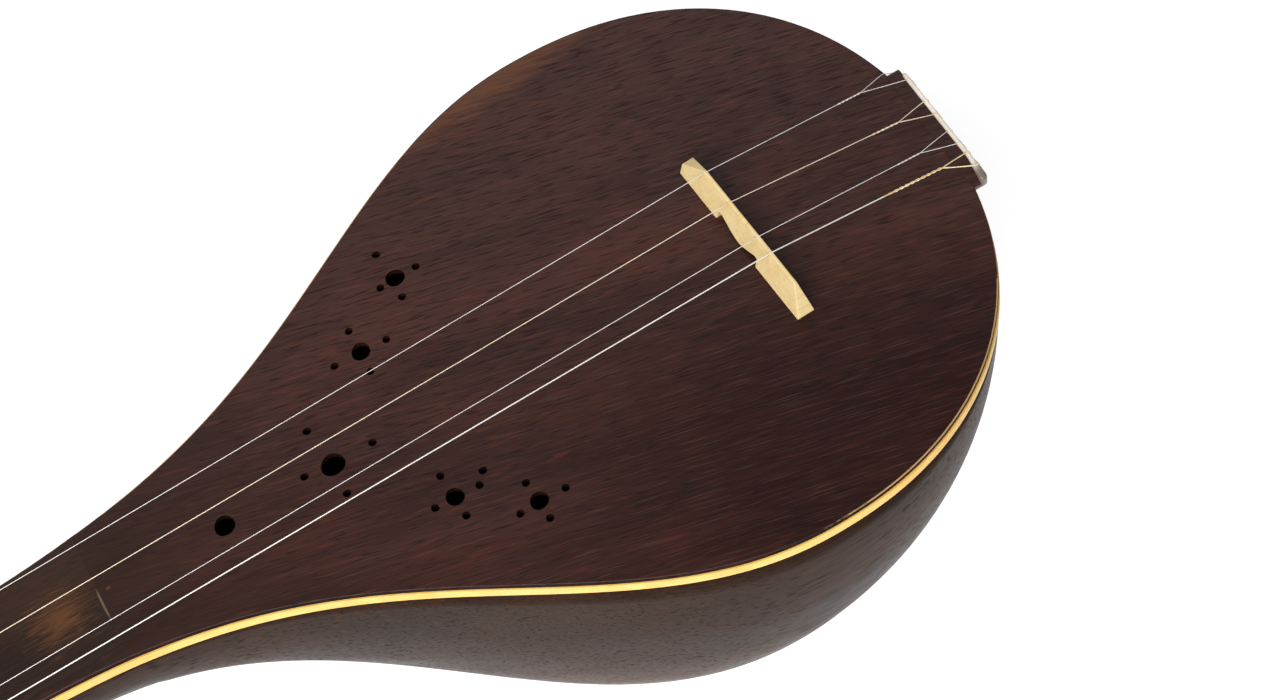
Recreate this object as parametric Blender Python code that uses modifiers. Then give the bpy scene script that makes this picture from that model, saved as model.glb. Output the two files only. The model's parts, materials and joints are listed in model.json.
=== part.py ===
"""A four-string long-necked lute (setar), resting on its back.

Metres, +Z up.  The instrument is modelled level, in a frame whose origin is the middle of the
soundboard's top face at the widest point: +X runs along the neck to the head, +Y is the bass
side, +Z comes out of the soundboard.  An empty then leans the whole instrument until the bowl
and the back of the head both touch the ground, and a second empty leans the neck back a little
from the body.
"""

import math

import bmesh
import bpy
from mathutils import Matrix, Vector

MM = 0.001
GAP = 0.3 * MM                     # kept between pieces that touch
MERGE = 0.01 * MM                  # merge distance for welded shapes

# --- driving dimensions -------------------------------------------------------------------
# Body outline, seen from the front
BODY_HALF_WIDTH = 81 * MM
TAIL_LENGTH = 79 * MM              # widest point to the tail of the full oval
TAIL_ROUNDNESS = 2.2               # exponent of the tail's superellipse
TAIL_FLAT_X = -77.3 * MM           # the tail is cut flat here for the tailpiece
WAIST_HALF_WIDTH = 16 * MM         # the outline's ogee falls to this at its far end
OGEE_LENGTH = 316 * MM
OGEE_SKEW = 1.04
OGEE_STEEPNESS = 4.75

# Bowl, seen from the side
BOWL_DEPTH = 142 * MM
DEEPEST_X = 30 * MM
BELLY_ROUNDNESS = 1.75             # exponent of the tail half of the belly line
BELLY_LENGTH = 176 * MM            # deepest point to the throat
BELLY_SKEW = 1.1
BELLY_STEEPNESS = 1.78
SECTION_ROUNDNESS = 2.2            # exponent of the bowl's cross-section
BOWL_WALL = 3.5 * MM

# Layers at the front
SOUNDBOARD_THICKNESS = 1.6 * MM
BINDING_HEIGHT = 2.8 * MM
BINDING_DEPTH = 2.4 * MM
BINDING_PROUD = 0.25 * MM

# Neck
JOINT_X = 159 * MM                 # seam between soundboard and fingerboard
THROAT_X = 200 * MM                # where the bowl ends and the neck begins
SCALE_LENGTH = 641 * MM
BRIDGE_X = -21 * MM
NUT_X = BRIDGE_X + SCALE_LENGTH
NECK_TILT = math.radians(1.9)
NUT_HALF_WIDTH = 14.2 * MM
NECK_DEPTH_THROAT = 30 * MM
NECK_DEPTH_NUT = 25 * MM
NUT_LENGTH = 4.5 * MM
NUT_RISE = 1.1 * MM                # top of the nut above the fingerboard
TENON_START_X = 166 * MM
TENON_CLEARANCE = 1.6 * MM         # between the tenon and the bowl's inner wall
SHOULDER_GAP = 0.5 * MM            # between the throat of the bowl and the neck's shoulder
TENON_DROP = 0.2 * MM              # the tenon's top is this much lower than the neck's
NUT_EASING = 0.8 * MM

# Head, stepped down behind the nut: distance from the nut's far face, half width, height of the
# back, height of the front and corner radius of each section, in millimetres
HEAD_SECTIONS = (
    (0, 13.4, -25.2, -4.6, 3.5),
    (12, 13.4, -26.0, -5.2, 3.0),
    (60, 13.6, -27.0, -5.2, 2.6),
    (100, 13.2, -27.2, -5.2, 2.6),
    (110, 12.4, -27.0, -5.6, 3.0),
    (116, 9.6, -24.5, -8.2, 3.4),
)
HEAD_HEEL = HEAD_SECTIONS[4]       # the section that the instrument rests on
HEAD_HALF_WIDTH = 13.4 * MM
HEAD_FACE_DROP = 5.2 * MM          # front of the head below the fingerboard
HEAD_THICKNESS = 22 * MM

# Pegs: distance from the nut's far face, and offset from the middle line
FRONT_PEGS = ((27 * MM, -7.0 * MM), (75 * MM, -1.0 * MM))
SIDE_PEGS = (51 * MM, 97 * MM)
SIDE_PEG_Z = -16.5 * MM            # height of the side pegs' axes, from the fingerboard
PEG_TIP_RADIUS = 3.1 * MM
PEG_SHANK_RADIUS = 4.0 * MM        # where the shank leaves the head
PEG_TIP_INSET = 0.6 * MM           # the tip stops this far inside the head's far face
PEG_TIP_EASING = 0.3 * MM
PEG_NECK_LENGTH = 9 * MM           # bare shank between the head and the collar
PEG_COLLAR_RADIUS = 5.6 * MM
PEG_COLLAR_HEIGHT = 4 * MM         # from the shank's end to the foot of the knob
PEG_KNOB_RADIUS = 9.5 * MM
PEG_KNOB_FOOT = 3.6 * MM           # radius of the knob where it meets the collar
PEG_KNOB_MIDDLE = 9.5 * MM         # height of the knob's widest ring above its foot
PEG_KNOB_HALF_HEIGHT = 8.6 * MM
PEG_KNOB_WAIST = 0.36              # the knob never narrows below this share of its radius
PEG_FINIAL = ((0, 21.5), (2.2, 21.3), (3.0, 19.6), (2.4, 18.4))    # radius, height above the foot
REAMER_OVERRUN = 1 * MM            # the peg holes are cut this far past both faces
WINDING_HEIGHT = 0.45 * PEG_NECK_LENGTH
WINDING_LENGTH = 3.2 * MM
WINDING_DEPTH = 0.9 * MM
WINDING_ROOM = 0.5 * MM            # between the shank and the inside of the turns
WINDING_GROOVE = 0.25 * MM         # depth of the grooves between the turns
WINDING_LIP = 0.05 * MM
WINDING_RIDGES = 4

# Strings, from the treble side to the bass side
STRING_NAMES = ("treble", "brass", "drone", "bass")
BRASS_STRINGS = ("brass", "bass")
PEG_STRINGS = ("treble", "brass", "bass", "drone")    # the front pegs' strings, then the side pegs'
STRING_DIAMETERS = (0.28 * MM, 0.32 * MM, 0.28 * MM, 0.45 * MM)
BRIDGE_Y = (-16.0 * MM, -4.8 * MM, 7.8 * MM, 13.6 * MM)
NUT_Y = (-11.2 * MM, -2.6 * MM, 10.0 * MM, 12.3 * MM)
LOOP_START_X = (-67.5 * MM, -70.7 * MM, -70.2 * MM, -72.3 * MM)
LOOP_START_Y = (-17.8 * MM, -4.8 * MM, 6.2 * MM, 12.9 * MM)
TOOTH_Y = (-17.0 * MM, -4.6 * MM, 6.6 * MM, 13.8 * MM)
CREST_OVERRUN = 0.2 * MM           # a string stays level this far past the bridge's ridge
NUT_BREAK = 0.8 * MM               # and bends down this far inside the nut's faces
LEG_ROOM = 0.4 * MM                # between a loop's legs and its tooth

# Bridge: set slightly askew, which lengthens the bass strings
BRIDGE_CENTRE_X = -21.7 * MM
BRIDGE_CENTRE_Y = 2.05 * MM
BRIDGE_SKEW = math.radians(2.75)
BRIDGE_HALF_LENGTH = 27.05 * MM
BRIDGE_BASE = 5 * MM
BRIDGE_TOP = 0.8 * MM
BRIDGE_RIDGE_X = -0.95 * MM        # the ridge sits towards the tail
BRIDGE_HEIGHT = 8.3 * MM
BRIDGE_RIDGE_TREBLE = -18.6 * MM   # the ends slope down from here
BRIDGE_RIDGE_BASS = 22.1 * MM
BRIDGE_END_TREBLE = 3.2 * MM       # heights of the two ends
BRIDGE_END_BASS = 0.8 * MM
# the gap between the feet, as (y, z) in millimetres: higher at its two ends than in the middle
BRIDGE_ARCH = ((-9.9, -1), (-9.9, 2.7), (-1.1, 0.9), (1.4, 1.0), (7.4, 2.6), (7.8, 2.4), (7.9, -1))

# Tailpiece
TAILPIECE_HALF_WIDTH = 20.6 * MM
TAILPIECE_THICKNESS = 2.4 * MM
TAILPIECE_RISE = 0.7 * MM          # above the soundboard
TAILPIECE_HEIGHT = 8.6 * MM
TAILPIECE_STANDOFF = 0.35 * MM     # between the bar and the binding
TAILPIECE_UPPER_CORNER = 1.8 * MM
TAILPIECE_LOWER_CORNER = 4.5 * MM
BONE_THICKNESS = 1.3 * MM
BONE_HEIGHT = 3.4 * MM
BONE_RISE = 0.3 * MM               # above the bar
BONE_SHORTFALL = 0.8 * MM          # the strip stops this far inside the bar's ends
BONE_EASING = 0.4 * MM
TOOTH_WIDTH = 3.6 * MM
TOOTH_HEIGHT = 3 * MM
TOOTH_REACH = 3.6 * MM
TOOTH_Z = -5 * MM
TOOTH_ROOT = 1 * MM                # how far a tooth reaches into the bar
PIN_Y = (-10.8 * MM, 0.9 * MM, 17.3 * MM)
PIN_Z = -4.2 * MM
PIN_RADIUS = 0.9 * MM
PIN_PROUD = 0.2 * MM

# Tied frets: cents above the open string, in the first octave and in the second
FRET_OCTAVE = (90, 140, 204, 294, 344, 408, 498, 568, 643, 702, 792, 842, 906, 996, 1046, 1110, 1200)
FRET_UPPER = (1290, 1340, 1404, 1494, 1544, 1608, 1698, 1902)
FRET_WIDTH = 2.4 * MM
FRET_THICKNESS = 0.6 * MM
FRET_TOP_CLEARANCE = 0.3 * MM
FRET_STEPS = 12                    # facets round the back of the neck

# Sound holes: centre, radius, and the small holes around it, in millimetres
SMALL_HOLE_RADIUS = 1.05
SOUND_HOLES = (
    (125, 0, 2.7, ()),
    (95, 0, 3.1, ((1.5, -12), (-11, 0), (7.5, -1), (0.5, 9))),
    (75, -24.7, 2.5, ((0, -7), (-7, 0.5), (7.5, 0), (0.5, 6.5))),
    (58, -39, 2.5, ((1, -9), (-6, 0), (4.5, 0.5), (1, 6))),
    (73.5, 24.6, 2.4, ((0.5, -7), (-6.5, 0.5), (5.5, 0), (0, 6), (-9, -2.5))),
    (56.7, 36.9, 2.4, ((0.5, -6), (-7, 0.5), (5.5, 0.5), (0, 5.5))),
)

# Inside
BRACE_X = (-48 * MM, 22 * MM)
BRACE_WIDTH = 6 * MM
BRACE_HEIGHT = 8 * MM
BRACE_SHORTFALL = 4 * MM           # the braces stop this far inside the binding
BRACE_EASING = 1.2 * MM
TAIL_BLOCK_LENGTH = 9 * MM
TAIL_BLOCK_HALF_WIDTH = 14 * MM
TAIL_BLOCK_HEIGHT = 8.7 * MM
TAIL_BLOCK_CLEARANCE = 1.5 * MM    # between the block and the bowl's inner wall
TAIL_BLOCK_EASING = 1.5 * MM

COLOURS = {
    "bowl_wood": ((0.055, 0.040, 0.034), 0.38, 0.0),
    "soundboard_wood": ((0.050, 0.026, 0.022), 0.45, 0.0),
    "binding_wood": ((0.86, 0.62, 0.20), 0.40, 0.0),
    "neck_wood": ((0.070, 0.040, 0.028), 0.40, 0.0),
    "fingerboard_wood": ((0.055, 0.030, 0.022), 0.42, 0.0),
    "pale_wood": ((0.74, 0.58, 0.30), 0.50, 0.0),
    "inner_wood": ((0.45, 0.33, 0.20), 0.70, 0.0),
    "bone": ((0.82, 0.77, 0.66), 0.35, 0.0),
    "peg_wood": ((0.040, 0.022, 0.016), 0.32, 0.0),
    "gut": ((0.62, 0.50, 0.30), 0.40, 0.0),
    "steel_wire": ((0.72, 0.72, 0.72), 0.25, 1.0),
    "brass_wire": ((0.80, 0.60, 0.30), 0.28, 1.0),
    "pin_metal": ((0.45, 0.38, 0.28), 0.40, 1.0),
}


# --- shape of the instrument --------------------------------------------------------------
def half_width(x):
    """Half the width of the front at x: an oval tail, an ogee to the neck, then a plain taper."""
    if x < 0:
        reach = min(-x / TAIL_LENGTH, 1.0)
        return BODY_HALF_WIDTH * (1 - reach ** TAIL_ROUNDNESS) ** (1 / TAIL_ROUNDNESS)
    if x > THROAT_X:
        share = (x - THROAT_X) / (NUT_X - THROAT_X)
        return half_width(THROAT_X) * (1 - share) + NUT_HALF_WIDTH * share
    phase = math.pi * (x / OGEE_LENGTH) ** OGEE_SKEW
    fall = (0.5 + 0.5 * math.cos(phase)) ** OGEE_STEEPNESS
    return WAIST_HALF_WIDTH + (BODY_HALF_WIDTH - WAIST_HALF_WIDTH) * fall


def neck_to_body(point):
    """A place in the leaning neck's frame, in the body's frame."""
    turn = Matrix.Rotation(NECK_TILT, 4, "Y")
    return Matrix.Translation((JOINT_X, 0, 0)) @ turn @ Vector(point)


def body_point(x, y, z):
    """A place at x along the instrument and z from its front, which leans back past the seam."""
    if x > JOINT_X:
        return neck_to_body((x - JOINT_X, y, z))
    return Vector((x, y, z))


def depth(x):
    """Depth of the bowl and neck at x, measured down from the front."""
    if x < DEEPEST_X:
        reach = min((DEEPEST_X - x) / (DEEPEST_X + TAIL_LENGTH), 1.0)
        return BOWL_DEPTH * (1 - reach ** BELLY_ROUNDNESS) ** (1 / BELLY_ROUNDNESS)
    share = min((x - DEEPEST_X) / BELLY_LENGTH, 1.0)
    fall = (0.5 + 0.5 * math.cos(math.pi * share ** BELLY_SKEW)) ** BELLY_STEEPNESS
    deep = NECK_DEPTH_THROAT + (BOWL_DEPTH - NECK_DEPTH_THROAT) * fall
    if x > THROAT_X:
        taper = (x - THROAT_X) / (NUT_X - THROAT_X)
        deep += (NECK_DEPTH_NUT - NECK_DEPTH_THROAT) * taper
    return deep


def half_section(half, top, bottom, steps, roundness=SECTION_ROUNDNESS):
    """Points (y, z) from one rim, under the belly, to the other rim."""
    points = []
    for i in range(steps + 1):
        angle = math.pi * i / steps
        c, s = math.cos(angle), math.sin(angle)
        y = math.copysign(abs(c) ** (2 / roundness), c) * half
        z = top - (top - bottom) * max(s, 0.0) ** (2 / roundness)
        points.append((y, z))
    return points


def tail_stations(count):
    """x values from the flat tail to the widest point, closer together near the tail."""
    first = math.acos(-TAIL_FLAT_X / TAIL_LENGTH)
    return [
        -TAIL_LENGTH * math.cos(first + (math.pi / 2 - first) * i / count)
        for i in range(count)
    ]


def evenly(start, end, count):
    """count + 1 values from start to end."""
    return [start + (end - start) * i / count for i in range(count + 1)]


# --- scene helpers ------------------------------------------------------------------------
def clear_scene():
    for item in list(bpy.data.objects):
        bpy.data.objects.remove(item, do_unlink=True)


def new_collection(name):
    collection = bpy.data.collections.new(name)
    bpy.context.scene.collection.children.link(collection)
    return collection


def make_material(name):
    colour, roughness, metallic = COLOURS[name]
    material = bpy.data.materials.get(name) or bpy.data.materials.new(name)
    material.use_nodes = True
    shader = material.node_tree.nodes["Principled BSDF"]
    shader.inputs["Base Color"].default_value = (*colour, 1.0)
    shader.inputs["Roughness"].default_value = roughness
    shader.inputs["Metallic"].default_value = metallic
    return material


def add_object(name, data, material, parent, smooth=None):
    """Puts mesh or curve data in the scene as a part."""
    item = bpy.data.objects.new(name, data)
    PARTS.objects.link(item)
    item.parent = parent
    data.materials.append(make_material(material))
    if smooth is not None:
        data.shade_smooth()
        data.set_sharp_from_angle(angle=math.radians(smooth))
    return item


def to_mesh(name, bm):
    bmesh.ops.recalc_face_normals(bm, faces=bm.faces)
    mesh = bpy.data.meshes.new(name)
    bm.to_mesh(mesh)
    bm.free()
    return mesh


def face_outwards(bm, inside):
    """Turns the faces of an open surface the same way, away from a point inside it."""
    bmesh.ops.recalc_face_normals(bm, faces=bm.faces)
    if sum(f.normal.dot(f.calc_center_median() - inside) for f in bm.faces) < 0:
        bmesh.ops.reverse_faces(bm, faces=bm.faces)


def loft(name, rings):
    """A mesh through rings of equal point counts, with its ends closed by flat caps."""
    bm = bmesh.new()
    rows = [[bm.verts.new(point) for point in ring] for ring in rings]
    count = len(rows[0])
    for near, far in zip(rows, rows[1:]):
        for i in range(count):
            j = (i + 1) % count
            bm.faces.new((near[i], near[j], far[j], far[i]))
    bm.faces.new(rows[0])
    bm.faces.new(rows[-1])
    return to_mesh(name, bm)


def plate(name, outline, top, thickness):
    """A flat plate: a filled outline, given its thickness downwards."""
    bm = bmesh.new()
    face = bm.faces.new([bm.verts.new((x, y, top)) for x, y in outline])
    pushed = bmesh.ops.extrude_face_region(bm, geom=[face])
    verts = [v for v in pushed["geom"] if isinstance(v, bmesh.types.BMVert)]
    bmesh.ops.translate(bm, verts=verts, vec=(0, 0, -thickness))
    return to_mesh(name, bm)


def box(name, low, high):
    """A box between two corners."""
    bm = bmesh.new()
    bmesh.ops.create_cube(bm, size=1.0)
    size = Vector(high) - Vector(low)
    middle = (Vector(high) + Vector(low)) / 2
    bmesh.ops.scale(bm, vec=size, verts=bm.verts)
    bmesh.ops.translate(bm, vec=middle, verts=bm.verts)
    return to_mesh(name, bm)


def add_solidify(item, thickness):
    solid = item.modifiers.new("thickness", "SOLIDIFY")
    solid.thickness = thickness
    solid.offset = -1.0
    solid.use_even_offset = True
    solid.use_rim = True


def add_bevel(item, width, segments=2, angle=40):
    bevel = item.modifiers.new("rounded_edges", "BEVEL")
    bevel.width = width
    bevel.segments = segments
    bevel.limit_method = "ANGLE"
    bevel.angle_limit = math.radians(angle)


def add_cut(item, cutter):
    cut = item.modifiers.new("cut_" + cutter.name, "BOOLEAN")
    cut.operation = "DIFFERENCE"
    cut.solver = "EXACT"
    cut.object = cutter


def make_cutter(name, data, parent):
    """A wire-shown object that only cuts others."""
    item = bpy.data.objects.new(name, data)
    CUTTERS.objects.link(item)
    item.parent = parent
    item.hide_render = True
    item.display_type = "WIRE"
    return item


def rods(name, places):
    """Many separate cylinders or cones in one mesh: (matrix, low radius, high radius, length)."""
    bm = bmesh.new()
    for matrix, low_radius, high_radius, length in places:
        bmesh.ops.create_cone(
            bm,
            cap_ends=True,
            segments=12,
            radius1=low_radius,
            radius2=high_radius,
            depth=length,
            matrix=matrix,
        )
    return to_mesh(name, bm)


def turned(name, profile, material, parent, matrix, steps=14):
    """A turned piece from (radius, height) points, listed from the top down its outer side."""
    bm = bmesh.new()
    verts = [bm.verts.new((radius, 0, height)) for radius, height in profile]
    for a, b in zip(verts, verts[1:]):
        bm.edges.new((a, b))
    mesh = bpy.data.meshes.new(name)
    bm.to_mesh(mesh)
    bm.free()
    item = add_object(name, mesh, material, parent)
    item.matrix_local = matrix
    screw = item.modifiers.new("turned", "SCREW")
    screw.steps = steps
    screw.render_steps = steps
    screw.axis = "Z"
    screw.angle = 2 * math.pi
    screw.use_merge_vertices = True
    screw.merge_threshold = MERGE
    screw.use_smooth_shade = True
    return item


def wire(name, points, diameter, material, parent):
    """A wire along points, with filled ends."""
    curve = bpy.data.curves.new(name, "CURVE")
    curve.dimensions = "3D"
    curve.bevel_depth = diameter / 2
    curve.bevel_resolution = 2
    curve.use_fill_caps = True
    spline = curve.splines.new("POLY")
    spline.points.add(len(points) - 1)
    for place, point in zip(spline.points, points):
        place.co = (*point, 1.0)
    return add_object(name, curve, material, parent)


# --- body ---------------------------------------------------------------------------------
RIM_Z = -(SOUNDBOARD_THICKNESS + BINDING_HEIGHT + 2 * GAP)


def body_stations(tail_count, neck_count):
    return tail_stations(tail_count) + evenly(0, THROAT_X, neck_count)


def build_bowl(parent):
    rings = []
    for x in body_stations(8, 15):
        section = half_section(half_width(x), RIM_Z, -depth(x), steps=19)
        rings.append([body_point(x, y, z) for y, z in section])
    bm = bmesh.new()
    rows = [[bm.verts.new(point) for point in ring] for ring in rings]
    for near, far in zip(rows, rows[1:]):
        for i in range(len(near) - 1):
            bm.faces.new((near[i], near[i + 1], far[i + 1], far[i]))
    bm.faces.new(rows[0])
    face_outwards(bm, Vector((0, 0, -BOWL_DEPTH / 3)))
    mesh = bpy.data.meshes.new("bowl")
    bm.to_mesh(mesh)
    bm.free()
    bowl = add_object("bowl", mesh, "bowl_wood", parent, smooth=50)
    add_solidify(bowl, BOWL_WALL)
    return bowl


def front_outline(end_x, tail_count=12, neck_count=18):
    """The closed outline of the front, from the flat tail to a straight end at end_x."""
    stations = tail_stations(tail_count) + evenly(0, end_x, neck_count)
    bass = [(x, half_width(x)) for x in stations]
    treble = [(x, -half_width(x)) for x in reversed(stations)]
    return bass + treble


def hole_places():
    """Every sound hole as (x, y, radius)."""
    for x, y, radius, ring in SOUND_HOLES:
        yield x * MM, y * MM, radius * MM
        for dx, dy in ring:
            yield (x + dx) * MM, (y + dy) * MM, SMALL_HOLE_RADIUS * MM


def build_soundboard(parent):
    outline = front_outline(JOINT_X)
    mesh = plate("soundboard", outline, 0, SOUNDBOARD_THICKNESS)
    board = add_object("soundboard", mesh, "soundboard_wood", parent, smooth=30)
    length = 4 * SOUNDBOARD_THICKNESS
    drills = [
        (Matrix.Translation((x, y, -SOUNDBOARD_THICKNESS / 2)), radius, radius, length)
        for x, y, radius in hole_places()
    ]
    add_cut(board, make_cutter("sound_hole_drill", rods("sound_hole_drill", drills), parent))


def ribbon(name, path, top, height):
    """An upright open strip along (x, y) points."""
    bm = bmesh.new()
    pairs = []
    for x, y in path:
        high = bm.verts.new(body_point(x, y, top))
        low = bm.verts.new(body_point(x, y, top - height))
        pairs.append((high, low))
    for (a, b), (c, d) in zip(pairs, pairs[1:]):
        bm.faces.new((a, b, d, c))
    face_outwards(bm, Vector((0, 0, top)))
    mesh = bpy.data.meshes.new(name)
    bm.to_mesh(mesh)
    bm.free()
    return mesh


def build_body_binding(parent):
    """One strip from the neck, round the tail, and back to the neck."""
    stations = body_stations(12, 20)
    bass = [(x, half_width(x) + BINDING_PROUD) for x in reversed(stations)]
    treble = [(x, -y) for x, y in reversed(bass)]
    top = -(SOUNDBOARD_THICKNESS + GAP)
    mesh = ribbon("body_binding", bass + treble, top, BINDING_HEIGHT)
    strip = add_object("body_binding", mesh, "binding_wood", parent, smooth=40)
    add_solidify(strip, BINDING_DEPTH)


def build_braces(parent):
    """Two bars glued under the soundboard."""
    for number, x in enumerate(BRACE_X, start=1):
        reach = half_width(x) - BOWL_WALL - BINDING_DEPTH - BRACE_SHORTFALL
        top = -(SOUNDBOARD_THICKNESS + GAP)
        low = (x - BRACE_WIDTH / 2, -reach, top - BRACE_HEIGHT)
        high = (x + BRACE_WIDTH / 2, reach, top)
        name = f"soundboard_brace_{number}"
        brace = add_object(name, box(name, low, high), "inner_wood", parent)
        add_bevel(brace, BRACE_EASING, segments=1)


def build_tail_block(parent):
    """The block behind the tail wall that the tailpiece pins go into."""
    inner_x = TAIL_FLAT_X + BOWL_WALL + TAIL_BLOCK_CLEARANCE
    top = RIM_Z - GAP
    low = (inner_x, -TAIL_BLOCK_HALF_WIDTH, top - TAIL_BLOCK_HEIGHT)
    high = (inner_x + TAIL_BLOCK_LENGTH, TAIL_BLOCK_HALF_WIDTH, top)
    block = add_object("tail_block", box("tail_block", low, high), "inner_wood", parent)
    add_bevel(block, TAIL_BLOCK_EASING, segments=1)


# --- tailpiece ----------------------------------------------------------------------------
TAILPIECE_INNER = TAIL_FLAT_X - BINDING_PROUD - TAILPIECE_STANDOFF
TAILPIECE_OUTER = TAILPIECE_INNER - TAILPIECE_THICKNESS
BONE_X = TAILPIECE_OUTER - GAP - BONE_THICKNESS    # the strip's outer face
BONE_TOP = TAILPIECE_RISE + BONE_RISE


def tailpiece_outline():
    """The bar's face, with small upper corners and large lower ones."""
    low_z = TAILPIECE_RISE - TAILPIECE_HEIGHT
    outline = []
    for side_y, side_z, start in ((1, 1, 0), (-1, 1, 90), (-1, -1, 180), (1, -1, 270)):
        radius = TAILPIECE_UPPER_CORNER if side_z > 0 else TAILPIECE_LOWER_CORNER
        centre_y = side_y * (TAILPIECE_HALF_WIDTH - radius)
        centre_z = TAILPIECE_RISE - radius if side_z > 0 else low_z + radius
        for step in range(4):
            angle = math.radians(start + 30 * step)
            y = centre_y + radius * math.cos(angle)
            z = centre_z + radius * math.sin(angle)
            outline.append((y, z))
    return outline


def build_tailpiece(parent):
    """A bar on the tail's flat, with a tooth for each string loop."""
    faces = [[(x, y, z) for y, z in tailpiece_outline()] for x in (TAILPIECE_INNER, TAILPIECE_OUTER)]
    bar = add_object("tailpiece", loft("tailpiece", faces), "peg_wood", parent, smooth=40)
    bm = bmesh.new()
    for y in TOOTH_Y:
        size = (TOOTH_REACH + TOOTH_ROOT, TOOTH_WIDTH, TOOTH_HEIGHT)
        centre = (TAILPIECE_OUTER + (TOOTH_ROOT - TOOTH_REACH) / 2, y, TOOTH_Z)
        matrix = Matrix.Translation(centre) @ Matrix.Diagonal((*size, 1))
        bmesh.ops.create_cube(bm, size=1.0, matrix=matrix)
    teeth = make_cutter("tailpiece_teeth", to_mesh("tailpiece_teeth", bm), parent)
    join = bar.modifiers.new("teeth", "BOOLEAN")
    join.operation = "UNION"
    join.solver = "EXACT"
    join.object = teeth
    build_tailpiece_pins(bar, parent)


def build_tailpiece_pins(bar, parent):
    """Pins through the bar into the tail block."""
    turn = Matrix.Rotation(math.radians(90), 4, "Y")
    bore = PIN_RADIUS + GAP
    drill_length = TAILPIECE_THICKNESS * 3
    drills = [
        (Matrix.Translation((TAILPIECE_OUTER, y, PIN_Z)) @ turn, bore, bore, drill_length)
        for y in PIN_Y
    ]
    add_cut(bar, make_cutter("pin_drill", rods("pin_drill", drills), parent))
    length = TAILPIECE_THICKNESS + PIN_PROUD
    for number, y in enumerate(PIN_Y, start=1):
        name = f"tailpiece_pin_{number}"
        place = Matrix.Translation((TAILPIECE_INNER - length / 2, y, PIN_Z)) @ turn
        pin = rods(name, [(place, PIN_RADIUS, PIN_RADIUS, length)])
        add_object(name, pin, "pin_metal", parent, smooth=40)


def build_tailpiece_edge(parent):
    """The bone strip along the bar's upper outer edge."""
    reach = TAILPIECE_HALF_WIDTH - BONE_SHORTFALL
    low = (BONE_X, -reach, BONE_TOP - BONE_HEIGHT)
    high = (TAILPIECE_OUTER - GAP, reach, BONE_TOP)
    bone = add_object("tailpiece_edge", box("tailpiece_edge", low, high), "bone", parent)
    add_bevel(bone, BONE_EASING, segments=2)


# --- bridge -------------------------------------------------------------------------------
def bridge_ring(y, top):
    """The bridge's wedge-shaped section at y, cut off at a height."""
    half_base = BRIDGE_BASE / 2
    share = top / BRIDGE_HEIGHT
    head_side = half_base + (BRIDGE_RIDGE_X + BRIDGE_TOP / 2 - half_base) * share
    tail_side = -half_base + (BRIDGE_RIDGE_X - BRIDGE_TOP / 2 + half_base) * share
    return [(-half_base, y, GAP), (half_base, y, GAP), (head_side, y, top), (tail_side, y, top)]


def build_bridge(parent):
    """A low wedge on two feet, with its ridge towards the tail and sloping ends."""
    rings = [
        bridge_ring(-BRIDGE_HALF_LENGTH, BRIDGE_END_TREBLE),
        bridge_ring(BRIDGE_RIDGE_TREBLE, BRIDGE_HEIGHT),
        bridge_ring(BRIDGE_RIDGE_BASS, BRIDGE_HEIGHT),
        bridge_ring(BRIDGE_HALF_LENGTH, BRIDGE_END_BASS),
    ]
    holder = bpy.data.objects.new("bridge_seat", None)
    PARTS.objects.link(holder)
    holder.parent = parent
    holder.location = (BRIDGE_CENTRE_X, BRIDGE_CENTRE_Y, 0)
    holder.rotation_euler = (0, 0, BRIDGE_SKEW)
    bridge = add_object("bridge", loft("bridge", rings), "pale_wood", holder, smooth=30)
    sides = [[(x, y * MM, z * MM) for y, z in BRIDGE_ARCH] for x in (-BRIDGE_BASE, BRIDGE_BASE)]
    add_cut(bridge, make_cutter("bridge_arch", loft("bridge_arch", sides), holder))


# --- neck ---------------------------------------------------------------------------------
def neck_u(x):
    """Distance along the neck from the seam, for a place x on the level axis."""
    return x - JOINT_X


NECK_TOP_Z = -(SOUNDBOARD_THICKNESS + BINDING_HEIGHT + 2 * GAP)
NECK_END_X = NUT_X + NUT_LENGTH


def neck_section(x, inset, steps=12):
    """A ring round the neck: its back, and a ridge between the bindings that fills the middle."""
    half = half_width(x) - inset
    back_top = NECK_TOP_Z - (TENON_DROP if inset else 0)
    ridge_top = -(SOUNDBOARD_THICKNESS + GAP)
    ridge = half + BINDING_PROUD - BINDING_DEPTH - GAP
    ring = half_section(half, back_top, -depth(x) + inset, steps)
    ring += [(-ridge, back_top), (-ridge, ridge_top), (ridge, ridge_top), (ridge, back_top)]
    return [(neck_u(x), y, z) for y, z in ring]


def build_neck(parent):
    """The neck, with a tenon that fills the throat of the bowl."""
    tenon_inset = BOWL_WALL + TENON_CLEARANCE
    shoulder = THROAT_X + SHOULDER_GAP
    rings = [neck_section(x, tenon_inset) for x in evenly(TENON_START_X, THROAT_X, 3)]
    rings[-1] = [(neck_u(shoulder), y, z) for _, y, z in rings[-1]]
    rings += [neck_section(x, 0) for x in evenly(shoulder, NECK_END_X, 6)]
    add_object("neck", loft("neck", rings), "neck_wood", parent, smooth=50)


def build_fingerboard(parent):
    stations = evenly(JOINT_X + GAP, THROAT_X, 5) + [NUT_X - GAP]
    bass = [(neck_u(x), half_width(x)) for x in stations]
    treble = [(u, -y) for u, y in reversed(bass)]
    mesh = plate("fingerboard", bass + treble, 0, SOUNDBOARD_THICKNESS)
    add_object("fingerboard", mesh, "fingerboard_wood", parent, smooth=30)


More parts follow.
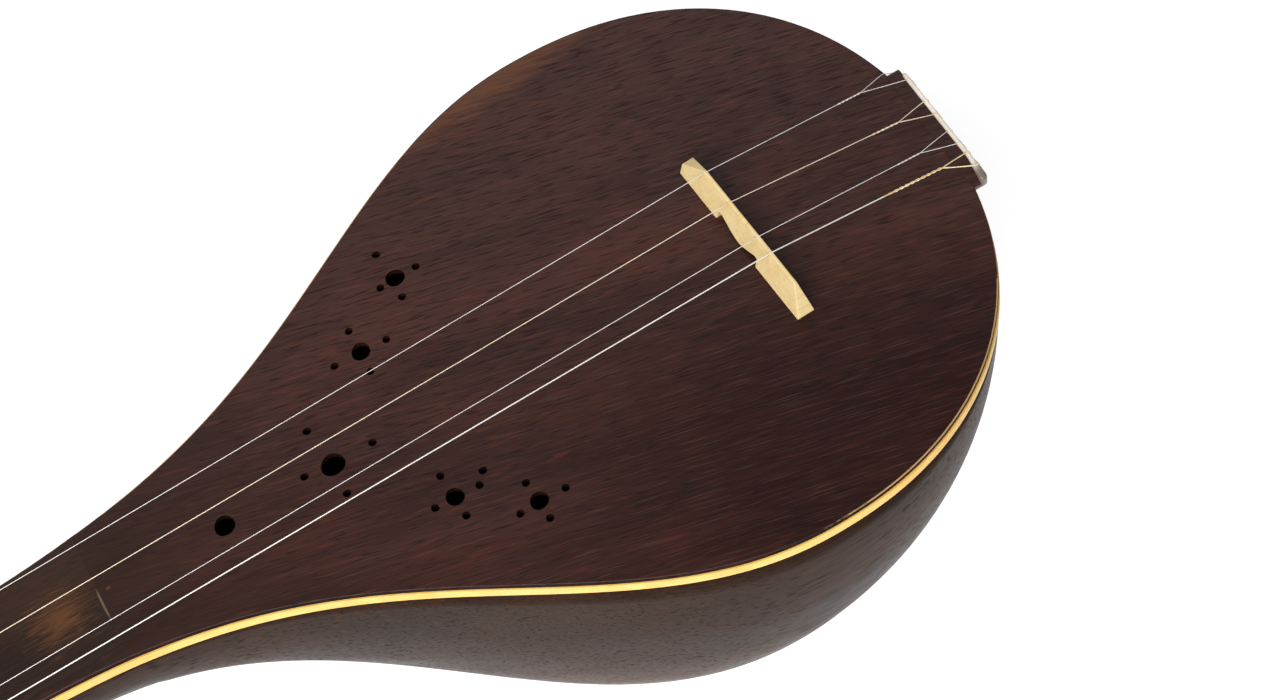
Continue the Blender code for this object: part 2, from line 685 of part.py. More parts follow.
def build_neck_bindings(parent):
    """Pale strips between the fingerboard and the neck, one on each side."""
    for name, side in (("neck_binding_bass", 1), ("neck_binding_treble", -1)):
        start, end = THROAT_X + SHOULDER_GAP, NECK_END_X
        outer = [(neck_u(x), side * (half_width(x) + BINDING_PROUD)) for x in (start, end)]
        inner = [(u, y - side * BINDING_DEPTH) for u, y in reversed(outer)]
        mesh = plate(name, outer + inner, -(SOUNDBOARD_THICKNESS + GAP), BINDING_HEIGHT)
        add_object(name, mesh, "binding_wood", parent)


def build_nut(parent):
    low = (neck_u(NUT_X), -NUT_HALF_WIDTH, -SOUNDBOARD_THICKNESS)
    high = (neck_u(NUT_X) + NUT_LENGTH, NUT_HALF_WIDTH, NUT_RISE)
    nut = add_object("nut", box("nut", low, high), "bone", parent)
    add_bevel(nut, NUT_EASING, segments=2)


def fret_distance(cents):
    """Distance from the seam, along the neck, of the fret for a pitch above the open string."""
    return neck_u(NUT_X) - SCALE_LENGTH * (1 - 2 ** (-cents / 1200))


def build_fret(number, u, parent):
    """One gut fret, tied round the neck: a closed band with room to slide."""
    x = u + JOINT_X
    holder = bpy.data.objects.new(f"fret_seat_{number:02d}", None)
    PARTS.objects.link(holder)
    holder.parent = parent
    holder.location = (u, 0, 0)
    inner_half = half_width(x) + BINDING_PROUD + GAP
    inner_top = FRET_TOP_CLEARANCE
    inner_bottom = -depth(x) - GAP
    lower = half_section(inner_half, NECK_TOP_Z, inner_bottom, FRET_STEPS)
    inner = [(inner_half, inner_top)] + lower + [(-inner_half, inner_top)]
    outer_half = inner_half + FRET_THICKNESS
    lower = half_section(outer_half, NECK_TOP_Z, inner_bottom - FRET_THICKNESS, FRET_STEPS)
    outer_top = inner_top + FRET_THICKNESS
    outer = [(inner_half, outer_top)] + lower + [(-inner_half, outer_top)]
    bm = bmesh.new()
    rows = []
    for offset in (-FRET_WIDTH / 2, FRET_WIDTH / 2):
        for loop in (inner, outer):
            rows.append([bm.verts.new((offset, y, z)) for y, z in loop])
    count = len(inner)
    for a, b in ((rows[0], rows[1]), (rows[1], rows[3]), (rows[3], rows[2]), (rows[2], rows[0])):
        for i in range(count):
            j = (i + 1) % count
            bm.faces.new((a[i], a[j], b[j], b[i]))
    name = f"fret_{number:02d}"
    add_object(name, to_mesh(name, bm), "gut", holder, smooth=40)


# --- head and pegs ------------------------------------------------------------------------
HEAD_START = NUT_X + NUT_LENGTH + GAP - JOINT_X
WINDING_INNER = PEG_SHANK_RADIUS + WINDING_ROOM
WINDING_OUTER = WINDING_INNER + WINDING_DEPTH


def rounded_rectangle(half, low, high, radius, steps=3):
    points = []
    corners = ((1, 1, 0), (-1, 1, 90), (-1, -1, 180), (1, -1, 270))
    for side_y, side_z, start in corners:
        centre_y = side_y * (half - radius)
        centre_z = high - radius if side_z > 0 else low + radius
        for step in range(steps + 1):
            angle = math.radians(start + 90 * step / steps)
            y = centre_y + radius * math.cos(angle)
            z = centre_z + radius * math.sin(angle)
            points.append((y, z))
    return points


def build_head(parent):
    """The solid peg head, with a rounded end and tapered peg holes."""
    rings = []
    for distance, half, low, high, radius in HEAD_SECTIONS:
        points = rounded_rectangle(half * MM, low * MM, high * MM, radius * MM)
        rings.append([(HEAD_START + distance * MM, y, z) for y, z in points])
    head = add_object("peg_head", loft("peg_head", rings), "neck_wood", parent, smooth=40)
    holes = []
    for matrix, through in peg_frames():
        growth = REAMER_OVERRUN * (PEG_SHANK_RADIUS - PEG_TIP_RADIUS) / through
        tip = PEG_TIP_RADIUS + GAP - growth
        mouth = PEG_SHANK_RADIUS + GAP + growth
        centre = matrix @ Matrix.Translation((0, 0, -through / 2))
        holes.append((centre, tip, mouth, through + 2 * REAMER_OVERRUN))
    add_cut(head, make_cutter("peg_reamer", rods("peg_reamer", holes), parent))


def peg_frames():
    """Each peg's place and length in the head: origin where its shank leaves, +Z to its knob."""
    frames = []
    for distance, y in FRONT_PEGS:
        origin = (HEAD_START + distance, y, -HEAD_FACE_DROP)
        frames.append((Matrix.Translation(origin), HEAD_THICKNESS - PEG_TIP_INSET))
    turn = Matrix.Rotation(math.radians(-90), 4, "X")
    for distance in SIDE_PEGS:
        origin = (HEAD_START + distance, HEAD_HALF_WIDTH, SIDE_PEG_Z)
        frames.append((Matrix.Translation(origin) @ turn, 2 * HEAD_HALF_WIDTH - PEG_TIP_INSET))
    return frames


def peg_profile(through):
    """(radius, height) from the top of the knob down to the tip."""
    collar = PEG_NECK_LENGTH
    knob = collar + PEG_COLLAR_HEIGHT
    profile = [(radius * MM, knob + height * MM) for radius, height in PEG_FINIAL]
    for step in range(7):
        angle = math.radians(75 - 25 * step)
        radius = PEG_KNOB_RADIUS * max(math.cos(angle), PEG_KNOB_WAIST)
        height = PEG_KNOB_MIDDLE + PEG_KNOB_HALF_HEIGHT * math.sin(angle)
        profile.append((radius, knob + height))
    profile += [
        (PEG_KNOB_FOOT, knob),
        (PEG_COLLAR_RADIUS, collar + 0.55 * PEG_COLLAR_HEIGHT),
        (PEG_COLLAR_RADIUS, collar + 0.2 * PEG_COLLAR_HEIGHT),
        (1.05 * PEG_SHANK_RADIUS, collar),
        (PEG_SHANK_RADIUS, 0),
        (PEG_TIP_RADIUS, -through + PEG_TIP_EASING),
        (PEG_TIP_RADIUS - PEG_TIP_EASING, -through),
        (0, -through),
    ]
    return profile


def winding_profile():
    """A ring of string turns: its outer side from the top down, then up its bore."""
    groove = WINDING_OUTER - WINDING_GROOVE
    half = WINDING_LENGTH / 2
    pitch = WINDING_LENGTH / WINDING_RIDGES
    points = [(WINDING_INNER, half)]
    for i in range(WINDING_RIDGES):
        top = half - pitch * i
        points.append((groove, top - WINDING_LIP))
        points.append((WINDING_OUTER, top - pitch / 2))
    points.append((groove, -half + WINDING_LIP))
    points.append((WINDING_INNER, -half))
    return points + points[:1]


def string_metal(name):
    """The material of a string and of its turns on the peg."""
    return "brass_wire" if name in BRASS_STRINGS else "steel_wire"


def build_pegs(parent):
    """Four pegs, each with its turns of string, on an empty on the peg's axis."""
    centres = {}
    for (matrix, through), string in zip(peg_frames(), PEG_STRINGS):
        holder = bpy.data.objects.new(f"peg_axis_{string}", None)
        PARTS.objects.link(holder)
        holder.parent = parent
        holder.matrix_local = matrix
        turned(f"peg_{string}", peg_profile(through), "peg_wood", holder, Matrix.Identity(4))
        place = Matrix.Translation((0, 0, WINDING_HEIGHT))
        name = f"winding_{string}"
        turned(name, winding_profile(), string_metal(string), holder, place, steps=12)
        centres[string] = matrix @ place.translation
    return centres


# --- strings ------------------------------------------------------------------------------
def string_end(name, centre, radius):
    """Where a string stops, beside the turns on its peg."""
    off = WINDING_OUTER + GAP + radius
    away = {"treble": Vector((0, -off, 0)), "brass": Vector((0, off, 0))}
    return centre + away.get(name, Vector((0, 0, off)))


def loop_leg(tooth_y, side, edge_z, radius):
    """One side of a loop: over the bone strip, down its face, and in below a tooth."""
    out = side * (TOOTH_WIDTH / 2 + LEG_ROOM + radius)
    outer_x = BONE_X - GAP - radius
    below_z = TOOTH_Z - TOOTH_HEIGHT / 2 - LEG_ROOM - radius
    return [
        Vector((BONE_X + BONE_THICKNESS, tooth_y + out, edge_z)),
        Vector((outer_x + 0.3 * MM, tooth_y + out, edge_z - 0.1 * MM)),
        Vector((outer_x, tooth_y + out, edge_z - 0.5 * MM)),
        Vector((outer_x, tooth_y + out, TOOTH_Z + TOOTH_HEIGHT / 2)),
        Vector((outer_x, tooth_y + out - side * 0.3 * MM, below_z + 0.4 * MM)),
        Vector((outer_x, tooth_y + out * 0.6, below_z)),
    ]


def build_string(index, peg_centres, parent):
    """One string: from its peg over the nut and the bridge to a loop round its tooth."""
    name = STRING_NAMES[index]
    diameter = STRING_DIAMETERS[index]
    radius = diameter / 2
    nut_top = NUT_RISE + GAP + radius
    nut_in = Vector((neck_u(NUT_X) + NUT_BREAK, NUT_Y[index], nut_top))
    nut_out = Vector((neck_u(NUT_X) + NUT_LENGTH - NUT_BREAK, NUT_Y[index], nut_top))
    end = string_end(name, peg_centres[name], radius)
    points = [neck_to_body(p) for p in (end, nut_out, nut_in)]

    half_top = BRIDGE_TOP / 2 + CREST_OVERRUN
    top_z = BRIDGE_HEIGHT + GAP + radius
    y = BRIDGE_Y[index]
    skewed = (y - BRIDGE_CENTRE_Y) * math.tan(BRIDGE_SKEW)
    crest_x = BRIDGE_CENTRE_X + BRIDGE_RIDGE_X - skewed
    points.append(Vector((crest_x + half_top, y, top_z)))
    points.append(Vector((crest_x - half_top, y, top_z)))

    start = Vector((LOOP_START_X[index], LOOP_START_Y[index], 0))
    edge_z = BONE_TOP + GAP + radius
    fall = (start.x - crest_x) / (BONE_X - crest_x)
    start.z = top_z + (edge_z - top_z) * fall
    points.append(start)
    points += loop_leg(TOOTH_Y[index], -1, edge_z, radius)
    points += reversed(loop_leg(TOOTH_Y[index], 1, edge_z, radius))
    aside = Vector((0.3 * MM, diameter + 0.25 * MM, 0))
    points.append(start + aside)
    wire(f"string_{name}", points, diameter, string_metal(name), parent)


# --- assembly -----------------------------------------------------------------------------
def lean_angle():
    """The lean at which the bowl and the back of the head touch the ground together."""
    distance, _, back, _, _ = HEAD_HEEL
    head = neck_to_body((HEAD_START + distance * MM, 0, back * MM))
    best = 0.0
    for x in body_stations(8, 15):
        bottom = body_point(x, 0, -depth(x))
        best = max(best, math.atan2(head.z - bottom.z, head.x - bottom.x))
    return best


def rest_on_ground(instrument):
    """Moves the instrument so that its box stands on the ground, centred on the origin."""
    bpy.context.view_layer.update()
    graph = bpy.context.evaluated_depsgraph_get()
    low = Vector((1e9, 1e9, 1e9))
    high = -low
    for item in PARTS.objects:
        if item.type not in {"MESH", "CURVE"}:
            continue
        shown = item.evaluated_get(graph)
        mesh = shown.to_mesh()
        for vert in mesh.vertices:
            place = shown.matrix_world @ vert.co
            low = Vector(map(min, low, place))
            high = Vector(map(max, high, place))
        shown.to_mesh_clear()
    middle = (low + high) / 2
    instrument.location = (-middle.x, -middle.y, -low.z)


clear_scene()
PARTS = new_collection("long_necked_lute")
CUTTERS = new_collection("cutters")

instrument = bpy.data.objects.new("instrument", None)
PARTS.objects.link(instrument)
neck_frame = bpy.data.objects.new("neck_frame", None)
PARTS.objects.link(neck_frame)
neck_frame.parent = instrument
neck_frame.location = (JOINT_X, 0, 0)
neck_frame.rotation_euler = (0, NECK_TILT, 0)

build_bowl(instrument)
build_soundboard(instrument)
build_body_binding(instrument)
build_braces(instrument)
build_tail_block(instrument)
build_tailpiece(instrument)
build_tailpiece_edge(instrument)
build_bridge(instrument)

build_neck(neck_frame)
build_fingerboard(neck_frame)
build_neck_bindings(neck_frame)
build_nut(neck_frame)
build_head(neck_frame)
for number, cents in enumerate(FRET_OCTAVE + FRET_UPPER, start=1):
    build_fret(number, fret_distance(cents), neck_frame)
peg_centres = build_pegs(neck_frame)
for index in range(len(STRING_NAMES)):
    build_string(index, peg_centres, instrument)

instrument.rotation_euler = (0, lean_angle(), 0)
rest_on_ground(instrument)
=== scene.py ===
"""Looks of a four-string long-necked lute (setar) that rests on its back.

Metres, +Z up.  Body pieces are modelled level, in the instrument's own frame: its origin is the
middle of the soundboard's top face at the widest point, +X runs to the head, +Y is the bass side
and +Z comes out of the soundboard.  Neck pieces are modelled in a second frame, which starts at the
seam between soundboard and fingerboard and leans back a little.  Both frames are read from the
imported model.
"""
import json
import math

import bmesh
import bpy
from mathutils import Matrix, Vector


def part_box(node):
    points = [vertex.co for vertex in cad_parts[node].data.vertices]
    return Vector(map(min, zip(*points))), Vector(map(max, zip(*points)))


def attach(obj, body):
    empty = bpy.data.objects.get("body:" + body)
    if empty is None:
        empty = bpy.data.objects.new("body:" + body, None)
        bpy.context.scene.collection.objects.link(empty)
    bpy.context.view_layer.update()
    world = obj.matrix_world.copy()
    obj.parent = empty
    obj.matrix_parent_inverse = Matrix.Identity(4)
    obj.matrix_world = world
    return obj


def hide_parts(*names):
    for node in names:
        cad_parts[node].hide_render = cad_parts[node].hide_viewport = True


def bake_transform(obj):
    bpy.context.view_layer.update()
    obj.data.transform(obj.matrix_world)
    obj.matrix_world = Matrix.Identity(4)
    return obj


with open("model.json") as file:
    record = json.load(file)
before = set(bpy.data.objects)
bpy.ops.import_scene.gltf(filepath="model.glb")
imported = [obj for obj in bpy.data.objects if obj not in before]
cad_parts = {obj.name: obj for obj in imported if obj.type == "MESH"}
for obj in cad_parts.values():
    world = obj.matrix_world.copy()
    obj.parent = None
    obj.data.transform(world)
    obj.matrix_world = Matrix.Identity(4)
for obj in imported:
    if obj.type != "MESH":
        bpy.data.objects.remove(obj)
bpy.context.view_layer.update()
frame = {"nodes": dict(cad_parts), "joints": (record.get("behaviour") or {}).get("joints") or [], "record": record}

MM = 0.001
NODES = frame["nodes"]
JOINTS = {joint["name"]: joint for joint in frame["joints"]}

# --- driving dimensions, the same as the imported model's -----------------------------------
BODY_HALF_WIDTH = 81 * MM
TAIL_LENGTH = 79 * MM              # widest point to the tail of the full oval
TAIL_ROUNDNESS = 2.2               # exponent of the tail's superellipse
TAIL_FLAT_X = -77.3 * MM           # the tail is cut flat here for the tailpiece
WAIST_HALF_WIDTH = 16 * MM         # the outline's ogee falls to this at its far end
OGEE_LENGTH = 316 * MM
OGEE_SKEW = 1.04
OGEE_STEEPNESS = 4.75

BOWL_DEPTH = 142 * MM
DEEPEST_X = 30 * MM
BELLY_ROUNDNESS = 1.75
BELLY_LENGTH = 176 * MM
BELLY_SKEW = 1.1
BELLY_STEEPNESS = 1.78
SECTION_ROUNDNESS = 2.2
BOWL_WALL = 3.5 * MM

GAP = 0.3 * MM
BOARD_THICKNESS = 1.6 * MM
BINDING_HEIGHT = 2.8 * MM
BINDING_DEPTH = 2.4 * MM
BINDING_PROUD = 0.25 * MM
RIM_Z = -(BOARD_THICKNESS + BINDING_HEIGHT + 2 * GAP)

JOINT_X = 159 * MM                 # seam between soundboard and fingerboard
THROAT_X = 200 * MM                # where the bowl ends and the neck begins
NUT_X = 620 * MM
NUT_HALF_WIDTH = 14.2 * MM
NECK_DEPTH_THROAT = 30 * MM
NECK_DEPTH_NUT = 25 * MM

BRIDGE_CENTRE = Vector((-21.7, 2.05, 0)) * MM
BRIDGE_SKEW = math.radians(2.75)   # its bass end stands nearer to the tail
BRIDGE_HALF_LENGTH = 27.05 * MM
BRIDGE_BASE = 5 * MM
BRIDGE_TOP = 0.8 * MM
BRIDGE_RIDGE_X = -0.95 * MM        # the ridge leans to the tail
BRIDGE_HEIGHT = 8.3 * MM

TOOTH_Y = (-17.0 * MM, -4.6 * MM, 6.6 * MM, 13.8 * MM)
TOOTH_Z = -5 * MM
TOOTH_WIDTH = 3.6 * MM
TOOTH_HEIGHT = 3 * MM

PEG_TIP_RADIUS = 3.1 * MM
PEG_SHANK_RADIUS = 4 * MM          # where the shank leaves the head
PEG_NECK_LENGTH = 9 * MM           # bare shank between the head and the collar
PEG_KNOB_RADIUS = 9.5 * MM
WINDING_HEIGHT = PEG_NECK_LENGTH * 0.45

FRET_STRAND = 0.3 * MM             # radius of the tied gut
FRET_ROOM = 0.06 * MM              # lets a fret slide on to a slightly thicker part of the neck
KNOT_Z = -4.2 * MM                 # the knot lies on the bass side, at the binding's lower edge
KNOT_HALF_LENGTH = 1.35 * MM
KNOT_HALF_HEIGHT = 0.9 * MM

STRINGS = ("treble", "brass", "drone", "bass")
STRING_RADIUS = {"treble": 0.10 * MM, "brass": 0.12 * MM, "drone": 0.10 * MM, "bass": 0.17 * MM}
BRIDGE_Y = {"treble": -16 * MM, "brass": -4.8 * MM, "drone": 7.8 * MM, "bass": 13.6 * MM}
NUT_Y = {"treble": -11.2 * MM, "brass": -2.6 * MM, "drone": 10 * MM, "bass": 12.3 * MM}

# The splice of each string: where its two loop legs part (x, y), its length, how far to the
# treble and to the bass side of its tooth the legs bend over the bone, and the pitch of its twist
SPLICES = {
    "treble": ((-67.5, -17.8), 7.0, (-4.4, 1.6), 2.2),
    "brass": ((-70.7, -4.8), 8.0, (-2.6, 2.2), 2.6),
    "drone": ((-70.2, 6.2), 7.0, (-2.8, 1.8), 2.4),
    "bass": ((-72.3, 12.9), 16.0, (-1.8, 2.6), 3.2),
}


# --- frames -------------------------------------------------------------------------------
def frame_along(direction, origin):
    """A frame with +X along a direction, +Y level to the bass side, and +Z out of the front."""
    x = Vector(direction).normalized()
    y = Vector((0, 1, 0))
    z = x.cross(y).normalized()
    turn = Matrix((x, z.cross(x), z)).transposed().to_4x4()
    return Matrix.Translation(origin) @ turn


def body_frame():
    """The instrument's own frame, from the leaning soundboard's box."""
    axis = Vector(JOINTS["bridge_slide"]["axis"]).normalized()
    low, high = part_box("soundboard")
    lean = math.atan2(-axis.z, axis.x)
    origin_x = high.x - JOINT_X * math.cos(lean)
    origin_z = high.z + TAIL_FLAT_X * math.sin(lean)
    return frame_along(axis, (origin_x, (low.y + high.y) / 2, origin_z))


BODY = body_frame()
NECK = frame_along(JOINTS["fret_01_slide"]["axis"], BODY @ Vector((JOINT_X, 0, 0)))


def level_box(node, level=BODY):
    """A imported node's lowest and highest corners, measured in one of the two frames."""
    back = level.inverted()
    places = [back @ vert.co for vert in NODES[node].data.vertices]
    low = Vector([min(place[i] for place in places) for i in range(3)])
    high = Vector([max(place[i] for place in places) for i in range(3)])
    return low, high


# --- shape of the instrument --------------------------------------------------------------
def half_width(x):
    """Half the width of the front at x: an oval tail, an ogee to the neck, then a plain taper."""
    if x < 0:
        reach = min(-x / TAIL_LENGTH, 1.0)
        return BODY_HALF_WIDTH * (1 - reach ** TAIL_ROUNDNESS) ** (1 / TAIL_ROUNDNESS)
    if x > THROAT_X:
        share = (x - THROAT_X) / (NUT_X - THROAT_X)
        return half_width(THROAT_X) * (1 - share) + NUT_HALF_WIDTH * share
    phase = math.pi * (x / OGEE_LENGTH) ** OGEE_SKEW
    fall = (0.5 + 0.5 * math.cos(phase)) ** OGEE_STEEPNESS
    return WAIST_HALF_WIDTH + (BODY_HALF_WIDTH - WAIST_HALF_WIDTH) * fall


def depth(x):
    """Depth of the bowl and neck at x, measured down from the front."""
    if x < DEEPEST_X:
        reach = min((DEEPEST_X - x) / (DEEPEST_X + TAIL_LENGTH), 1.0)
        return BOWL_DEPTH * (1 - reach ** BELLY_ROUNDNESS) ** (1 / BELLY_ROUNDNESS)
    share = min((x - DEEPEST_X) / BELLY_LENGTH, 1.0)
    fall = (0.5 + 0.5 * math.cos(math.pi * share ** BELLY_SKEW)) ** BELLY_STEEPNESS
    deep = NECK_DEPTH_THROAT + (BOWL_DEPTH - NECK_DEPTH_THROAT) * fall
    if x > THROAT_X:
        taper = (x - THROAT_X) / (NUT_X - THROAT_X)
        deep += (NECK_DEPTH_NUT - NECK_DEPTH_THROAT) * taper
    return deep


def half_section(half, top, bottom, steps, roundness=SECTION_ROUNDNESS):
    """Points (y, z) from one rim, under the belly, to the other rim."""
    points = []
    for i in range(steps + 1):
        angle = math.pi * i / steps
        c, s = math.cos(angle), math.sin(angle)
        y = math.copysign(abs(c) ** (2 / roundness), c) * half
        z = top - (top - bottom) * max(s, 0.0) ** (2 / roundness)
        points.append((y, z))
    return points


def body_point(x, y, z):
    """A place at x along the instrument and z from its front, which leans back past the seam."""
    if x > JOINT_X:
        return BODY.inverted() @ NECK @ Vector((x - JOINT_X, y, z))
    return Vector((x, y, z))


def evenly(start, end, count):
    """count + 1 values from start to end."""
    return [start + (end - start) * i / count for i in range(count + 1)]


def tail_stations(count):
    """x values from the flat tail to the widest point, closer together near the tail."""
    first = math.acos(-TAIL_FLAT_X / TAIL_LENGTH)
    step = (math.pi / 2 - first) / count
    return [-TAIL_LENGTH * math.cos(first + step * i) for i in range(count)]


# --- mesh helpers -------------------------------------------------------------------------
def as_mesh(name, bm):
    """A mesh that holds what was built up in bm."""
    mesh = bpy.data.meshes.new(name)
    bm.to_mesh(mesh)
    bm.free()
    return mesh


def to_mesh(name, bm):
    bmesh.ops.recalc_face_normals(bm, faces=bm.faces)
    return as_mesh(name, bm)


def place_object(name, data):
    """A new object in the scene."""
    item = bpy.data.objects.new(name, data)
    bpy.context.scene.collection.objects.link(item)
    return item


def sheet_through(rows, closed=False):
    """An open surface through rows of equal point counts; closed joins each row into a ring."""
    bm = bmesh.new()
    grid = [[bm.verts.new(point) for point in row] for row in rows]
    count = len(grid[0])
    for near, far in zip(grid, grid[1:]):
        for i in range(count if closed else count - 1):
            j = (i + 1) % count
            bm.faces.new((near[i], near[j], far[j], far[i]))
    return bm, grid


def loft(name, rings):
    """A solid through rings of equal point counts, with flat ends."""
    bm, grid = sheet_through(rings, closed=True)
    bm.faces.new(grid[0])
    bm.faces.new(grid[-1])
    return to_mesh(name, bm)


def face_outwards(bm, inside):
    """Turns the faces of an open surface the same way, away from a point inside it."""
    bmesh.ops.recalc_face_normals(bm, faces=bm.faces)
    if sum(f.normal.dot(f.calc_center_median() - inside) for f in bm.faces) < 0:
        bmesh.ops.reverse_faces(bm, faces=bm.faces)


def plate(name, outline, top, thickness):
    """A flat plate: a filled outline, given its thickness downwards."""
    bm = bmesh.new()
    face = bm.faces.new([bm.verts.new((x, y, top)) for x, y in outline])
    pushed = bmesh.ops.extrude_face_region(bm, geom=[face])
    verts = [v for v in pushed["geom"] if isinstance(v, bmesh.types.BMVert)]
    bmesh.ops.translate(bm, verts=verts, vec=(0, 0, -thickness))
    return to_mesh(name, bm)


def circle(steps, around=None):
    """The cosine and sine at even steps round a circle, or on past a full turn."""
    angles = [2 * math.pi * i / steps for i in range(around or steps)]
    return [(math.cos(angle), math.sin(angle)) for angle in angles]


def tube(name, path, radius, sides=8, closed=False):
    """A round wire along a path of points; radius is one number or one for each point."""
    points = [Vector(p) for p in path]
    count = len(points)
    radii = radius if isinstance(radius, (list, tuple)) else [radius] * count
    rings = []
    side = None
    for i, point in enumerate(points):
        before = points[i - 1] if i or closed else point
        after = points[(i + 1) % count] if i + 1 < count or closed else point
        along = (after - before).normalized()
        if side is None:
            side = along.orthogonal().normalized()
        side = (side - along * side.dot(along)).normalized()
        other = along.cross(side)
        rings.append([point + (side * c + other * s) * radii[i] for c, s in circle(sides)])
    if closed:
        rings.append(rings[0])
        bm, grid = sheet_through(rings, closed=True)
        bmesh.ops.remove_doubles(bm, verts=bm.verts, dist=1e-7)
        return to_mesh(name, bm)
    return loft(name, rings)


def turned(name, profile, steps):
    """A turned solid from (radius, height) points, from its top to its bottom on the axis."""
    bm = bmesh.new()
    top = bm.verts.new((0, 0, profile[0][1]))
    bottom = bm.verts.new((0, 0, profile[-1][1]))
    rings = []
    for radius, height in profile[1:-1]:
        rings.append([bm.verts.new((radius * c, radius * s, height)) for c, s in circle(steps)])
    for k in range(steps):
        j = (k + 1) % steps
        bm.faces.new((top, rings[0][k], rings[0][j]))
        bm.faces.new((bottom, rings[-1][j], rings[-1][k]))
        for near, far in zip(rings, rings[1:]):
            bm.faces.new((near[k], near[j], far[j], far[k]))
    return to_mesh(name, bm)


def join_meshes(name, meshes):
    """One mesh that holds the shapes of several."""
    bm = bmesh.new()
    for mesh in meshes:
        bm.from_mesh(mesh)
    return as_mesh(name, bm)


def smooth_through(points, per_span=8):
    """Points along a Catmull-Rom curve through the given ones."""
    points = [Vector(p) for p in points]
    padded = [2 * points[0] - points[1], *points, 2 * points[-1] - points[-2]]
    path = []
    for a, b, c, d in zip(padded, padded[1:], padded[2:], padded[3:]):
        for step in range(per_span):
            t = step / per_span
            path.append(
                0.5 * (2 * b + (c - a) * t + (2 * a - 5 * b + 4 * c - d) * t ** 2
                       + (3 * b - a - 3 * c + d) * t ** 3)
            )
    path.append(points[-1])
    return path


def add_piece(name, mesh, level, finish, nodes, body="instrument", smooth=40):
    """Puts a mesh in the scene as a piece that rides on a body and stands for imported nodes."""
    item = place_object(name, mesh)
    mesh.transform(level)
    mesh.materials.append(FINISHES[finish])
    mesh.shade_smooth()
    mesh.set_sharp_from_angle(angle=math.radians(smooth))
    if body:
        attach(item, body)
    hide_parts(*nodes)
    return item


def add_solidify(item, thickness):
    solid = item.modifiers.new("thickness", "SOLIDIFY")
    solid.thickness = thickness
    solid.offset = -1.0
    solid.use_even_offset = True


def add_bevel(item, width, segments=3, angle=40):
    bevel = item.modifiers.new("eased_edges", "BEVEL")
    bevel.width = width
    bevel.segments = segments
    bevel.limit_method = "ANGLE"
    bevel.angle_limit = math.radians(angle)
    keep_faces_flat(item)


def keep_faces_flat(item):
    """Bends the shading only over the small faces of eased edges."""
    weighted = item.modifiers.new("flat_faces", "WEIGHTED_NORMAL")
    weighted.keep_sharp = True


def cut(item, mesh, level):
    """Cuts a shape out of a piece, after its own edges are eased; the cut's edges stay crisp."""
    item.modifiers.remove(item.modifiers["flat_faces"])
    cutter = place_object(item.name + "_cutter", mesh)
    cutter.matrix_world = level
    boolean = item.modifiers.new("cut", "BOOLEAN")
    boolean.operation = "DIFFERENCE"
    boolean.solver = "EXACT"
    boolean.object = cutter
    apply_modifiers(item)
    bpy.data.objects.remove(cutter)
    item.data.set_sharp_from_angle(angle=math.radians(50))
    keep_faces_flat(item)


def apply_modifiers(item):
    """Makes the shape that a piece's modifiers give its own mesh."""
    bpy.context.view_layer.update()
    graph = bpy.context.evaluated_depsgraph_get()
    mesh = bpy.data.meshes.new_from_object(item.evaluated_get(graph))
    item.modifiers.clear()
    item.data = mesh


